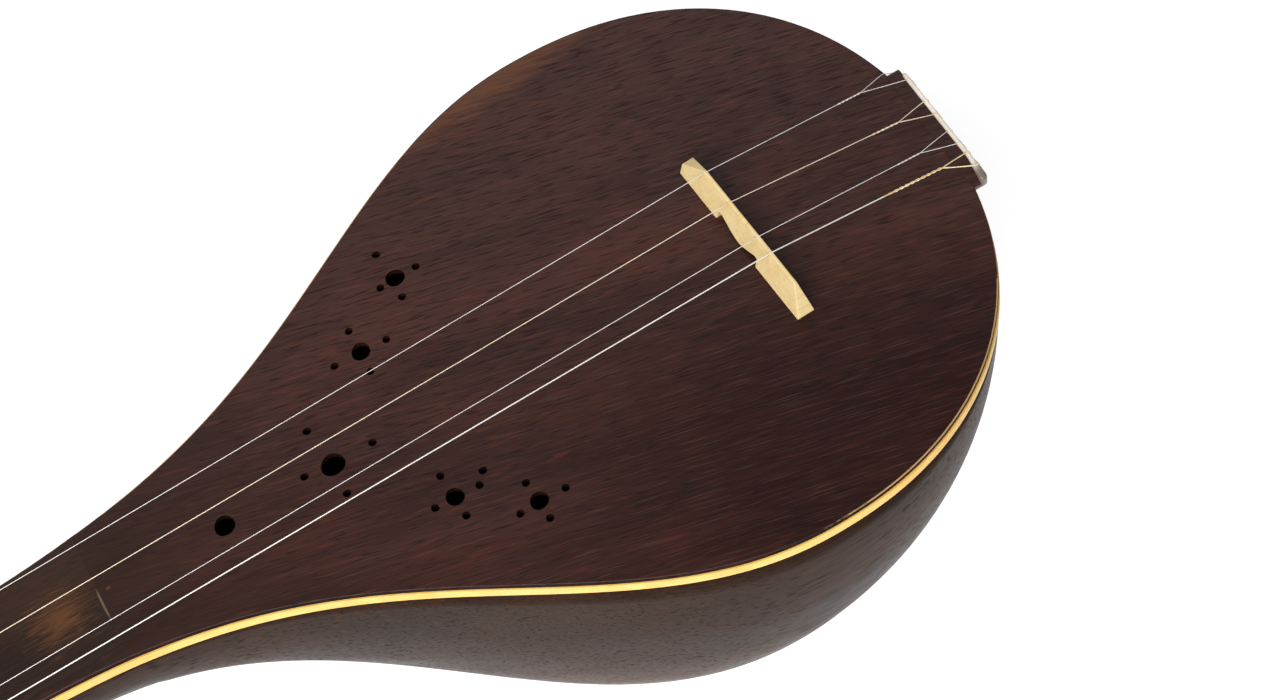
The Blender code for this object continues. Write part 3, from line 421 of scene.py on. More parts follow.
# --- material helpers ---------------------------------------------------------------------
class Finish:
    """A material's node tree, built up by short calls."""

    def __init__(self, name, level=None):
        self.material = bpy.data.materials.new(name)
        self.material.use_nodes = True
        self.tree = self.material.node_tree
        self.shader = self.tree.nodes["Principled BSDF"]
        self.colour = None
        level = level or BODY
        levelled = self.node(
            "Mapping", {"Vector": self.node("TexCoord").outputs["Object"],
                        "Location": level.translation, "Rotation": level.to_euler()},
            vector_type="TEXTURE")
        self.place = levelled.outputs["Vector"]

    def node(self, kind, sockets=None, **settings):
        """A new shader node with its settings, and its sockets set or linked."""
        node = self.tree.nodes.new("ShaderNode" + kind)
        for name, value in settings.items():
            setattr(node, name, value)
        for title, value in (sockets or {}).items():
            self.put(node.inputs[title], value)
        return node

    def put(self, socket, value):
        """Links an output to a socket, or sets the socket to a number or a colour."""
        if isinstance(value, bpy.types.NodeSocket):
            self.tree.links.new(value, socket)
        else:
            socket.default_value = value

    def set(self, **values):
        """Sets the shader's own sockets, such as base_color or coat_roughness."""
        for name, value in values.items():
            title = {"ior": "IOR", "specular_ior_level": "Specular IOR Level"}.get(
                name, name.replace("_", " ").title())
            self.put(self.shader.inputs[title], value)

    def done(self, **values):
        """Sets the last sockets, and gives the material."""
        self.set(base_color=self.colour, **values)
        return self.material

    def mapped(self, scale, turn=0.0, move=(0, 0, 0)):
        """The place on the piece, turned about Z, then scaled."""
        turned_place = self.node(
            "Mapping", {"Vector": self.place, "Rotation": (0, 0, turn), "Location": move})
        scaled = self.node(
            "Mapping", {"Vector": turned_place.outputs["Vector"], "Scale": scale})
        return scaled.outputs["Vector"]

    def noise(self, scale, detail, roughness, distortion=0.0, turn=0.0):
        """A noise with its own number of waves to the metre along each axis."""
        return self.node("TexNoise", {
            "Vector": self.mapped(scale, turn), "Scale": 1.0, "Detail": detail,
            "Roughness": roughness, "Distortion": distortion}).outputs["Fac"]

    def ball(self, centre, size, turn=0.0):
        """1 at a centre, falling to 0 at an ellipsoid; centre and half sizes in millimetres."""
        move = -(Matrix.Rotation(turn, 3, "Z") @ Vector([c * MM for c in centre]))
        mapped = self.mapped([1 / (s * MM) for s in size], turn, move)
        gradient = self.node("TexGradient", {"Vector": mapped}, gradient_type="SPHERICAL")
        return gradient.outputs["Fac"]

    def along(self, axis):
        """How far a place is along one axis of the frame."""
        return self.node("SeparateXYZ", {"Vector": self.place}).outputs[axis]

    def range(self, value, low, high, to_low=0.0, to_high=1.0):
        """A value's range from low to high, spread smoothly from to_low to to_high."""
        return self.node("MapRange", {
            "Value": value, "From Min": low, "From Max": high, "To Min": to_low,
            "To Max": to_high}, interpolation_type="SMOOTHSTEP").outputs["Result"]

    def maths(self, operation, a, b=0.0):
        return self.node("Math", {0: a, 1: b}, operation=operation).outputs["Value"]

    def mix(self, share, a, b, way="MIX"):
        """Colour a, turning to colour b as share goes from 0 to 1."""
        ends = [(*colour, 1) if isinstance(colour, tuple) else colour for colour in (a, b)]
        node = self.node(
            "Mix", {"Factor": share, 6: ends[0], 7: ends[1]}, data_type="RGBA", blend_type=way)
        return node.outputs[2]

    def tint(self, share, colour, way="MIX"):
        """Turns the finish's colour to another one, or multiplies it, as share goes to 1."""
        self.colour = self.mix(share, self.colour, colour, way)

    def bump(self, height, distance):
        return self.node(
            "Bump", {"Distance": distance, "Strength": 1.0, "Height": height}).outputs["Normal"]


def open_grain_wood(
        name, dark, middle, warm, turn=0.0, roughness=0.4, pores=0.5, flecks=0.5, level=None,
        stretch=1.0, relief=0.03 * MM):
    """Dark wood along X: broad bands, fine fibres, short open pores, and a few warm flecks."""
    finish = Finish(name, level)
    bands = finish.noise((7, 55, 55), 3.0, 0.6, 0.5, turn=turn)
    clouds = finish.noise((18, 40, 40), 2.0, 0.5, turn=turn)
    fibres = finish.noise((60, 1300, 1300), 3.0, 0.6, turn=turn)
    warm_flecks = finish.noise((110 / stretch, 900, 900), 2.0, 0.5, turn=turn)
    pore_noise = finish.noise((190 / stretch, 1600, 1600), 1.0, 0.5, turn=turn)
    finish.colour = finish.mix(finish.range(bands, 0.35, 0.65), dark, middle)
    finish.tint(finish.range(clouds, 0.4, 0.7, 0.0, 0.35), warm)
    finish.tint(finish.range(warm_flecks, 0.54, 0.72, 0.0, flecks), warm)
    finish.tint(finish.range(fibres, 0.35, 0.7, 0.0, 0.5), dark)
    holes = finish.range(pore_noise, 0.55, 0.68)
    deep = tuple(channel * 0.3 for channel in dark)
    finish.tint(finish.maths("MULTIPLY", holes, pores), deep)
    finish.set(
        specular_ior_level=0.3,
        roughness=finish.maths(
            "ADD", finish.range(bands, 0.3, 0.7, roughness - 0.04, roughness + 0.05),
            finish.maths("MULTIPLY", holes, 0.2)),
        normal=finish.bump(
            finish.maths("SUBTRACT", finish.maths("MULTIPLY", fibres, 0.4), holes), relief),
    )
    return finish


# --- finishes -----------------------------------------------------------------------------
GRAIN_TURN = math.radians(14)      # the board's grain runs this far off the middle line


def soundboard_finish():
    finish = open_grain_wood(
        "soundboard_finish", (0.028, 0.0095, 0.0075), (0.051, 0.0185, 0.0145),
        (0.100, 0.026, 0.014), turn=GRAIN_TURN, roughness=0.34, pores=0.65, flecks=0.7,
        stretch=1.25)
    # a band of paler sapwood along the treble side of the rim
    band = finish.ball((0, -90, 0), (78, 20, 60), math.radians(-10))
    broken = finish.noise((60, 700, 700), 4.0, 0.7, turn=GRAIN_TURN)
    share = finish.maths("ADD", band, finish.maths("MULTIPLY", broken, 0.9))
    share = finish.range(share, 0.52, 0.90, 0.0, 0.7)
    finish.tint(share, (0.130, 0.048, 0.020))
    # the board is darker on the bass side of the tail
    dusk = finish.ball((-25, 62, 0), (105, 62, 100), math.radians(20))
    finish.tint(finish.range(dusk, 0.0, 0.7), (0.48, 0.33, 0.31), "MULTIPLY")
    # long fibres that catch the light
    gloss = finish.noise((70, 3000, 3000), 2.0, 0.6, turn=GRAIN_TURN)
    finish.tint(finish.range(gloss, 0.52, 0.72, 0.0, 0.5), (0.090, 0.043, 0.036))
    # painted shade: towards the seam the board is darkened, and its brown nears the fingerboard's
    seam_shade = finish.range(finish.along("X"), 95 * MM, 165 * MM, 0.0, 0.75)
    finish.tint(seam_shade, (0.026, 0.0110, 0.0068))
    # the plug of a pin beside the seam
    plug = finish.ball((156.5, -0.8, 0), (0.9, 0.65, 1))
    finish.tint(finish.range(plug, 0.1, 0.5, 0.0, 0.7), (0.120, 0.038, 0.018))
    return finish.done(specular_ior_level=0.2)


def board_edge_finish():
    """The board's sawn sides and the walls of its holes: darker, partly as end grain is and partly as painted
    shade, and hardly polished.
    """
    finish = open_grain_wood(
        "board_edge_finish", (0.010, 0.0040, 0.0030), (0.022, 0.0080, 0.0060),
        (0.045, 0.0130, 0.0080), turn=GRAIN_TURN, roughness=0.6, pores=0.6, flecks=0.5)
    return finish.done(specular_ior_level=0.05)


def rim_highlight_finish():
    """The board's eased edge, with a painted highlight: paler in places along it."""
    finish = open_grain_wood(
        "rim_highlight_finish", (0.020, 0.0075, 0.0055), (0.040, 0.0150, 0.0110),
        (0.090, 0.026, 0.014), turn=GRAIN_TURN, roughness=0.4, pores=0.5, flecks=0.7)
    # painted highlight: pale streaks along the eased edge, at the tail's bass side and towards the throat on the
    # treble side
    tail = finish.ball((-45, 62, 0), (62, 62, 62))
    throat = finish.ball((120, -60, 0), (120, 60, 60))
    rim_streaks = finish.noise((160, 160, 160), 3.0, 0.6)
    wear_and_highlight = finish.maths("MULTIPLY", finish.maths("MAXIMUM", tail, throat), 1.5)
    share = finish.range(finish.maths("ADD", wear_and_highlight, rim_streaks), 0.75, 1.05, 0.0, 0.9)
    finish.tint(share, (0.480, 0.300, 0.130))
    return finish.done(specular_ior_level=0.2)


def bowl_finish():
    finish = open_grain_wood(
        "bowl_finish", (0.0230, 0.0120, 0.0080), (0.037, 0.0190, 0.0125),
        (0.062, 0.0280, 0.0160), roughness=0.33, pores=0.5, flecks=0.6, stretch=3.0,
        relief=0.015 * MM)
    # a cloudy darker patch on the bass side of the bowl
    dark_patch = finish.ball((5, 72, -50), (60, 30, 26))
    cloud = finish.noise((40, 60, 60), 3.0, 0.6)
    share = finish.range(finish.maths("MULTIPLY", dark_patch, cloud), 0.15, 0.40, 0.0, 0.45)
    finish.tint(share, (0.018, 0.011, 0.009))
    scuff = finish.ball((80, 56, -7.5), (11, 7, 2.2))
    finish.tint(finish.range(scuff, 0.05, 0.5, 0.0, 0.8), (0.006, 0.004, 0.003))
    # painted light: the belly is paler than the sides, standing in for the light that the pale floor throws up on
    # it and reflects in it
    belly = finish.range(finish.along("Z"), -55 * MM, -128 * MM, 0.0, 0.8)
    finish.tint(belly, (0.165, 0.098, 0.074))
    return finish.done(specular_ior_level=0.03)


def neck_finish():
    finish = open_grain_wood(
        "neck_finish", (0.036, 0.019, 0.014), (0.066, 0.036, 0.023),
        (0.105, 0.048, 0.024), roughness=0.36, pores=0.4, flecks=0.5, level=NECK)
    return finish.done()


def fingerboard_finish():
    finish = open_grain_wood(
        "fingerboard_finish", (0.0155, 0.0066, 0.0040), (0.028, 0.0123, 0.0072),
        (0.058, 0.020, 0.008), roughness=0.36, pores=0.5, flecks=0.6, level=NECK)
    wear_and_highlight = finish.ball((11, 0, 0), (13, 12.5, 20))
    streaks = finish.noise((150, 1600, 1600), 4.0, 0.7)
    share = finish.maths("ADD", wear_and_highlight, finish.maths("MULTIPLY", streaks, 2.6))
    share = finish.range(share, 1.45, 2.40, 0.0, 0.95)
    finish.tint(share, (0.110, 0.042, 0.013))
    # a thin pale line along a stretch of the seam
    seam_line = finish.ball((0.2, 2.6, 0), (0.55, 6, 2))
    finish.tint(finish.range(seam_line, 0.1, 0.5, 0.0, 0.8), (0.150, 0.105, 0.060))
    return finish.done()


def peg_finish(name, level):
    finish = open_grain_wood(
        name, (0.016, 0.009, 0.007), (0.032, 0.017, 0.011),
        (0.060, 0.026, 0.014), roughness=0.30, pores=0.4, flecks=0.5, level=level)
    return finish.done(coat_weight=0.4, coat_roughness=0.15)


def tailpiece_finish():
    """The same dark wood as the board."""
    finish = open_grain_wood(
        "tailpiece_finish", (0.026, 0.0095, 0.0075), (0.046, 0.0180, 0.0140),
        (0.085, 0.026, 0.015), turn=GRAIN_TURN, roughness=0.34, pores=0.6, flecks=0.6)
    return finish.done(specular_ior_level=0.2)


def pale_wood(name, light, dark, fleck, roughness=0.45, scale=1.0, shares=(0.45, 0.35)):
    """Pale close-grained wood along X, with fine dark flecks."""
    finish = Finish(name)
    bands = finish.noise((20 * scale, 260 * scale, 260 * scale), 3.0, 0.6, 0.6)
    fibres = finish.noise((90 * scale, 1800 * scale, 1800 * scale), 2.0, 0.6)
    specks = finish.noise((900, 2200, 2200), 1.0, 0.5)
    finish.colour = finish.mix(finish.range(bands, 0.35, 0.7), light, dark)
    finish.tint(finish.range(fibres, 0.55, 0.72, 0.0, shares[0]), fleck)
    finish.tint(finish.range(specks, 0.62, 0.72, 0.0, shares[1]), fleck)
    return finish.done(
        roughness=finish.range(fibres, 0.3, 0.7, roughness - 0.06, roughness + 0.08),
        normal=finish.bump(fibres, 0.00003),
    )


def bone_finish():
    finish = Finish("bone_finish")
    cloud = finish.noise((60, 60, 60), 3.0, 0.6)
    lines = finish.noise((900, 90, 900), 2.0, 0.6)
    finish.colour = finish.mix(
        finish.range(cloud, 0.35, 0.7), (0.86, 0.79, 0.69), (0.74, 0.65, 0.53))
    finish.tint(finish.range(lines, 0.6, 0.75, 0.0, 0.3), (0.50, 0.40, 0.29))
    # the end of the tail strip is grey-brown, like the outside of the bone
    bark = finish.ball((-81, 22, -1), (8, 9, 8))
    finish.tint(finish.range(bark, 0.15, 0.55, 0.0, 0.92), (0.140, 0.105, 0.085))
    return finish.done(
        roughness=finish.range(cloud, 0.3, 0.7, 0.25, 0.38),
        subsurface_weight=0.2,
        subsurface_scale=0.001,
        normal=finish.bump(lines, 0.00003),
    )


def gut_finish():
    finish = Finish("gut_finish")
    cloud = finish.noise((300, 300, 300), 3.0, 0.6)
    twist = finish.noise((2500, 900, 2500), 2.0, 0.5)
    finish.colour = finish.mix(
        finish.range(cloud, 0.3, 0.7), (0.62, 0.46, 0.24), (0.42, 0.28, 0.13))
    return finish.done(
        roughness=finish.range(twist, 0.3, 0.7, 0.32, 0.5),
        normal=finish.bump(twist, 0.00004),
    )


def metal_finish(name, bright, tarnished, roughness, metallic=0.4, gilt_beyond=None):
    """Drawn wire; gilt_beyond is the x towards the tail past which it turns golden."""
    finish = Finish(name)
    cloud = finish.noise((220, 220, 220), 3.0, 0.6)
    drawn = finish.noise((300, 6000, 6000), 2.0, 0.5)
    finish.colour = finish.mix(finish.range(cloud, 0.45, 0.75), bright, tarnished)
    if gilt_beyond is not None:
        gilt = finish.mix(finish.range(cloud, 0.4, 0.7), (0.98, 0.84, 0.52), (0.88, 0.62, 0.26))
        share = finish.range(finish.along("X"), gilt_beyond, gilt_beyond - 2 * MM)
        finish.tint(share, gilt)
    return finish.done(
        metallic=metallic,
        roughness=finish.range(drawn, 0.3, 0.7, roughness - 0.05, roughness + 0.1),
        normal=finish.bump(drawn, 0.00001),
    )


FINISHES = {
    "bowl": bowl_finish(),
    "soundboard": soundboard_finish(),
    "binding": pale_wood(
        "binding_finish", (0.90, 0.57, 0.15), (0.82, 0.48, 0.10), (0.56, 0.30, 0.06),
        shares=(0.2, 0.1)),
    "neck": neck_finish(),
    "fingerboard": fingerboard_finish(),
    "bridge": pale_wood(
        "bridge_finish", (0.84, 0.65, 0.33), (0.78, 0.57, 0.26), (0.55, 0.37, 0.15)),
    "inner": pale_wood(
        "inner_finish", (0.45, 0.31, 0.17), (0.36, 0.24, 0.12), (0.25, 0.15, 0.07), 0.7),
    "bone": bone_finish(),
    "tailpiece": tailpiece_finish(),
    "board_edge": board_edge_finish(),
    "rim_highlight": rim_highlight_finish(),
    "front_peg": peg_finish("front_peg_finish", NECK @ Matrix.Rotation(-math.pi / 2, 4, "Y")),
    "side_peg": peg_finish("side_peg_finish", NECK @ Matrix.Rotation(math.pi / 2, 4, "Z")),
    "gut": gut_finish(),
    "steel": metal_finish("steel_finish", (0.96, 0.89, 0.87), (0.80, 0.70, 0.66), 0.35),
    "brass": metal_finish("brass_finish", (0.98, 0.84, 0.66), (0.92, 0.70, 0.44), 0.35),
    "bronze": metal_finish(
        "bronze_finish", (0.98, 0.93, 0.87), (0.94, 0.84, 0.72), 0.35, gilt_beyond=-55 * MM),
    "pin": metal_finish("pin_finish", (0.55, 0.45, 0.30), (0.24, 0.18, 0.12), 0.42, metallic=1.0),
}
STRING_FINISH = {"treble": "steel", "brass": "brass", "drone": "steel", "bass": "bronze"}
ROUND = 60                         # degrees: wires are shaded round across all their facets


# --- camera -------------------------------------------------------------------------------
# Fitted to the body outline, the sound holes and the strings, in the instrument's own frame
CAMERA_PLACE = Vector((102.4, 326.0, 552.0)) * MM
CAMERA_RIGHT = Vector((-0.862, 0.487, -0.140))
CAMERA_AHEAD = Vector((-0.135, -0.487, -0.863))
CAMERA_LENS = 73.125               # millimetres, on a 36 mm sensor


def make_camera():
    """Above the bass side of the bowl, looking down across the soundboard."""
    right = CAMERA_RIGHT.normalized()
    ahead = CAMERA_AHEAD
    ahead = (ahead - right * ahead.dot(right)).normalized()
    turn = Matrix((right, right.cross(ahead), -ahead)).transposed().to_4x4()
    data = bpy.data.cameras.new("camera")
    data.lens = CAMERA_LENS
    data.sensor_width = 36
    camera = place_object("camera", data)
    camera.matrix_world = BODY @ Matrix.Translation(CAMERA_PLACE) @ turn
    bpy.context.scene.camera = camera


# --- body ---------------------------------------------------------------------------------
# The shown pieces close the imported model's gaps: each seam moves half a gap
BOARD_UNDER = -(BOARD_THICKNESS + GAP / 2)
BINDING_UNDER = RIM_Z + GAP / 2
EASING = 0.4 * MM                  # width of the board's eased edges; they close up at the seam
BINDING_SHOWN_PROUD = 0.5 * MM     # the eased edge of the board leaves this much to be seen


def make_bowl():
    stations = tail_stations(36) + evenly(0, THROAT_X, 64)
    rows = []
    for x in stations:
        section = half_section(half_width(x), BINDING_UNDER, -depth(x), steps=64)
        rows.append([body_point(x, y, z) for y, z in section])
    bm, grid = sheet_through(rows)
    bm.faces.new(grid[0])
    face_outwards(bm, Vector((0, 0, -BOWL_DEPTH / 3)))
    item = add_piece(
        "bowl_shell", as_mesh("bowl_shell", bm), BODY, "bowl",
        ["bowl"], smooth=50)
    add_solidify(item, BOWL_WALL)


def front_outline(end_x, tail_count=40, neck_count=70):
    """The closed outline of the front, from the flat tail to a straight end at end_x."""
    stations = tail_stations(tail_count) + evenly(0, end_x, neck_count)
    bass = [(x, half_width(x)) for x in stations]
    treble = [(x, -half_width(x)) for x in reversed(stations)]
    return bass + treble


# Sound holes: centre, radius, and the small holes around it, in millimetres
SMALL_HOLE_RADIUS = 1.05
SOUND_HOLES = (
    (125, 0, 2.7, ()),
    (95, 0, 3.1, ((1.5, -12), (-11, 0), (7.5, -1), (0.5, 9))),
    (75, -24.7, 2.5, ((0, -7), (-7, 0.5), (7.5, 0), (0.5, 6.5))),
    (58, -39, 2.5, ((1, -9), (-6, 0), (4.5, 0.5), (1, 6))),
    (73.5, 24.6, 2.4, ((0.5, -7), (-6.5, 0.5), (5.5, 0), (0, 6), (-9, -2.5))),
    (56.7, 36.9, 2.4, ((0.5, -6), (-7, 0.5), (5.5, 0.5), (0, 5.5))),
)


HOLE_STEPS = 28
OVAL_SHARE = 0.035                 # how far out of round the drilled holes are
LOBED_SHARE = 0.025


def sound_hole_drill():
    """Hand-drilled holes, each a little out of round."""
    cutters = []
    for x, y, radius, ring in SOUND_HOLES:
        holes = [(x, y, radius)] + [(x + dx, y + dy, SMALL_HOLE_RADIUS) for dx, dy in ring]
        for hole_x, hole_y, hole_radius in holes:
            outline = []
            for k, (c, s) in enumerate(circle(HOLE_STEPS)):
                angle = 2 * math.pi * k / HOLE_STEPS
                oval = OVAL_SHARE * math.sin(2 * angle + hole_x)
                lobed = LOBED_SHARE * math.sin(3 * angle + hole_y)
                out = hole_radius * (1 + oval + lobed)
                outline.append(((hole_x + out * c) * MM, (hole_y + out * s) * MM))
            cutters.append(plate("drill", outline, 3 * BOARD_THICKNESS, 6 * BOARD_THICKNESS))
    return join_meshes("sound_hole_drill", cutters)


def finish_sides(item, level):
    """Gives a plate's sides the sawn finish with its painted shade, and its eased rim the painted highlight."""
    apply_modifiers(item)
    item.data.materials.append(FINISHES["board_edge"])
    item.data.materials.append(FINISHES["rim_highlight"])
    out = level.to_3x3() @ Vector((0, 0, 1))
    back = level.inverted()
    for face in item.data.polygons:
        rise = face.normal.dot(out)
        centre = back @ face.center
        at_rim = abs(centre.y) > half_width(centre.x + (JOINT_X if level is NECK else 0)) - 0.6 * MM
        if rise < 0.35:
            face.material_index = 1
        elif rise < 0.99 and at_rim:
            face.material_index = 2


def make_panel(node, outline, level, holes=None):
    """A thin panel of the front: its edges eased, then its holes cut, then its sides finished."""
    name = node + "_panel"
    mesh = plate(name, outline, 0, -BOARD_UNDER)
    item = add_piece(name, mesh, level, node, [node], smooth=30)
    add_bevel(item, EASING)
    if holes:
        cut(item, holes, level)
    finish_sides(item, level)


def make_soundboard():
    make_panel("soundboard", front_outline(JOINT_X + EASING), BODY, sound_hole_drill())


def make_body_binding():
    stations = tail_stations(40) + evenly(0, THROAT_X, 80)
    bass = [(x, half_width(x) + BINDING_SHOWN_PROUD) for x in reversed(stations)]
    path = bass + [(x, -y) for x, y in reversed(bass)]
    rows = [[body_point(x, y, BOARD_UNDER), body_point(x, y, BINDING_UNDER)] for x, y in path]
    bm, _ = sheet_through(rows)
    face_outwards(bm, Vector((0, 0, BOARD_UNDER)))
    item = add_piece(
        "body_binding_strip", as_mesh("body_binding_strip", bm), BODY, "binding",
        ["body_binding"])
    add_solidify(item, BINDING_DEPTH)
    add_bevel(item, 0.3 * MM, segments=2)


# --- tailpiece ----------------------------------------------------------------------------
TOOTH_BACK = 0.9 * MM              # the teeth are worn this much shorter than packed
BAR_STEPS = 60
KNOB_LENGTH = 8 * MM               # the bone strip swells over this much of its bass end


def rounded_outline(half, low, high, radii, steps=8):
    """A rectangle in (y, z) with rounded corners: radii for the upper and the lower pair."""
    points = []
    corners = ((1, 1, 0), (-1, 1, 90), (-1, -1, 180), (1, -1, 270))
    for side_y, side_z, start in corners:
        radius = radii[0] if side_z > 0 else radii[1]
        centre_y = side_y * (half - radius)
        centre_z = high - radius if side_z > 0 else low + radius
        for step in range(steps + 1):
            angle = math.radians(start + 90 * step / steps)
            points.append(
                (centre_y + radius * math.cos(angle), centre_z + radius * math.sin(angle)))
    return points


def rounded_bar(name, low, high, end_length, squareness=0.5, sides=32, knob=0.0):
    """A bar along Y with soft edges and rounded ends; its bass end swells inwards by knob."""
    middle = (low + high) / 2
    half = (high - low) / 2
    rings = []
    for step in range(BAR_STEPS + 1):
        y = -half.y * math.cos(math.pi * step / BAR_STEPS)
        share = min((half.y - abs(y)) / end_length, 1.0)
        swell = max(math.sqrt(1 - (1 - share) ** 2), 0.05)
        stout = knob / 2 * max(0.0, min(1.0, 1 - (half.y - y) / KNOB_LENGTH))
        ring = []
        for c, s in circle(sides):
            x = (half.x + stout) * swell * math.copysign(abs(c) ** squareness, c) + stout
            z = (half.z + stout / 2) * (0.4 + 0.6 * swell) * math.copysign(abs(s) ** squareness, s)
            ring.append((middle.x + x, middle.y + y, middle.z + z))
        rings.append(ring)
    return loft(name, rings)


def tail_strip():
    """The corners of the bone strip: slimmer than packed, and longer on the bass side."""
    low, high = level_box("tailpiece_edge")
    bass_end = level_box("tailpiece")[1].y
    return low + Vector((0.4, 1.6, 0)) * MM, Vector((high.x + GAP, bass_end + 0.5 * MM, high.z))


def make_tailpiece():
    """The bar on the tail's flat, its teeth, and the bone strip that the strings bend over."""
    low, high = level_box("tailpiece")
    strip_low, strip_high = tail_strip()
    bar_outer = strip_high.x
    reach = 0.4 * MM               # the bar reaches in under the bone, and as far into the board
    outline = rounded_outline(high.y, low.z, 0.12 * MM, (1.6 * MM, 7 * MM), 10)
    rings = [[(x, y, z) for y, z in outline]
             for x in (bar_outer - reach, TAIL_FLAT_X + EASING + reach)]
    item = add_piece(
        "tailpiece_bar", loft("tailpiece_bar", rings), BODY, "tailpiece",
        ["tailpiece"])
    add_bevel(item, 0.3 * MM)
    teeth = []
    for y in TOOTH_Y:
        section = rounded_outline(
            TOOTH_WIDTH / 2, TOOTH_Z - TOOTH_HEIGHT / 2, TOOTH_Z + TOOTH_HEIGHT / 2,
            (0.5 * MM, 0.9 * MM), 4)
        teeth.append(loft("tooth", [[(x, y + dy, z) for dy, z in section]
                                    for x in (bar_outer + reach, low.x + TOOTH_BACK)]))
    item = add_piece(
        "tailpiece_teeth", join_meshes("tailpiece_teeth", teeth), BODY, "tailpiece",
        ["tailpiece"])
    add_bevel(item, 0.3 * MM, 2)
    add_piece(
        "tailpiece_edge_strip",
        rounded_bar("tailpiece_edge_strip", strip_low, strip_high, 1.6 * MM, knob=1.4 * MM),
        BODY, "bone", ["tailpiece_edge"], smooth=50)


# --- bridge -------------------------------------------------------------------------------
def bridge_frame():
    return BODY @ Matrix.Translation(BRIDGE_CENTRE) @ Matrix.Rotation(BRIDGE_SKEW, 4, "Z")


def make_bridge():
    """A wedge on two feet: its side outline, pushed through and narrowed towards the ridge."""
    reach = BRIDGE_HALF_LENGTH
    foot = 0.05 * MM
    arch = smooth_through(
        [(-9.7, 2.75, 0), (-7.6, 2.5, 0), (-4.3, 1.55, 0), (-1.1, 0.9, 0), (1.2, 0.95, 0),
         (4.0, 1.75, 0), (6.6, 2.6, 0), (7.7, 2.5, 0)], 5)
    outline = [(-reach, foot), (-reach, 3.2 * MM), (-18.6 * MM, BRIDGE_HEIGHT)]
    outline += [(22.1 * MM, BRIDGE_HEIGHT), (reach, 0.8 * MM), (reach, foot), (7.9 * MM, foot)]
    outline += [(point.x * MM, point.y * MM) for point in reversed(arch)]
    outline += [(-9.9 * MM, foot)]
    half_base = BRIDGE_BASE / 2
    rings = []
    for side in (-1, 1):
        ring = []
        for y, z in outline:
            share = z / BRIDGE_HEIGHT
            edge = side * half_base
            ridge = BRIDGE_RIDGE_X + side * BRIDGE_TOP / 2
            ring.append((edge + (ridge - edge) * share, y, z))
        rings.append(ring)
    item = add_piece(
        "bridge_saddle", loft("bridge_saddle", rings), bridge_frame(), "bridge",
        ["bridge"], "bridge", smooth=30)
    add_bevel(item, 0.22 * MM, 2, 35)
    notches = []
    for string in STRINGS:
        crest = bridge_crest(string)
        ahead = Vector((3 * MM, 0, 0))
        radius = STRING_RADIUS[string] * 1.25
        notches.append(tube("notch", [crest - ahead, crest + ahead], radius, 10))
    cut(item, join_meshes("notches", notches), BODY)


# --- strings ------------------------------------------------------------------------------
STRAIGHT_STEPS = 24
CREST_OVERLAP = 0.5 * MM           # a string's two pieces run this far past each other


def add_wire(name, string, path, level, node, body=None):
    """A string's own wire along a path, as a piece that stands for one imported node."""
    return add_piece(
        name, tube(name, path, STRING_RADIUS[string]), level, STRING_FINISH[string],
        [node], body, ROUND)


def bridge_crest(string):
    """Where the middle of a string crosses the bridge's ridge."""
    y = BRIDGE_Y[string]
    x = BRIDGE_CENTRE.x + BRIDGE_RIDGE_X - (y - BRIDGE_CENTRE.y) * math.tan(BRIDGE_SKEW)
    return Vector((x, y, BRIDGE_HEIGHT + STRING_RADIUS[string] * 0.6))


def twist(start, end, radius, pitch, phase):
    """One of two strands that wind round each other from start to end."""
    run = end - start
    along = run.normalized()
    side = along.cross(Vector((0, 0, 1))).normalized()
    up = side.cross(along)
    turns = max(1, round(run.length / pitch))
    count = turns * 12
    path = []
    for i in range(count + 1):
        share = i / count
        angle = phase + 2 * math.pi * turns * share
        out = radius * min(1.0, 6 * share)
        path.append(start + run * share + (side * math.cos(angle) + up * math.sin(angle)) * out)
    return path


def loop_leg(start, y, strip, tooth_y, side, radius):
    """One side of a loop: over the bone strip, down its face and round behind a tooth."""
    strip_low, strip_high = strip
    top = strip_high.z + radius * 0.8
    outer_x = strip_low.x - radius * 1.1
    hook = tooth_y + side * (TOOTH_WIDTH / 2 + radius * 1.2)
    under = TOOTH_Z - TOOTH_HEIGHT / 2 - radius * 1.3
    behind = [
        Vector((outer_x, hook, TOOTH_Z - TOOTH_HEIGHT / 4)),
        Vector((outer_x, tooth_y + side * TOOTH_WIDTH / 4, under)),
    ]
    if y < strip_low.y:
        # past the end of the strip: down through the notch beside the board's corner
        notch = Vector((TAIL_FLAT_X + 0.9 * MM, y + 0.4 * MM, 0.15 * MM))
        return [
            start.lerp(notch, 0.5), notch, notch + Vector((-1.2, -0.3, -1.2)) * MM,
            Vector((outer_x + 0.8 * MM, y, TOOTH_Z + TOOTH_HEIGHT / 2)), *behind]
    edge = Vector((strip_high.x, y, top))
    return [
        start.lerp(edge, 0.5), edge, Vector((outer_x + 0.6 * MM, y, top)),
        Vector((outer_x, y, top - 0.7 * MM)),
        Vector((outer_x, hook, TOOTH_Z + TOOTH_HEIGHT / 2 + 0.4 * MM)), *behind]


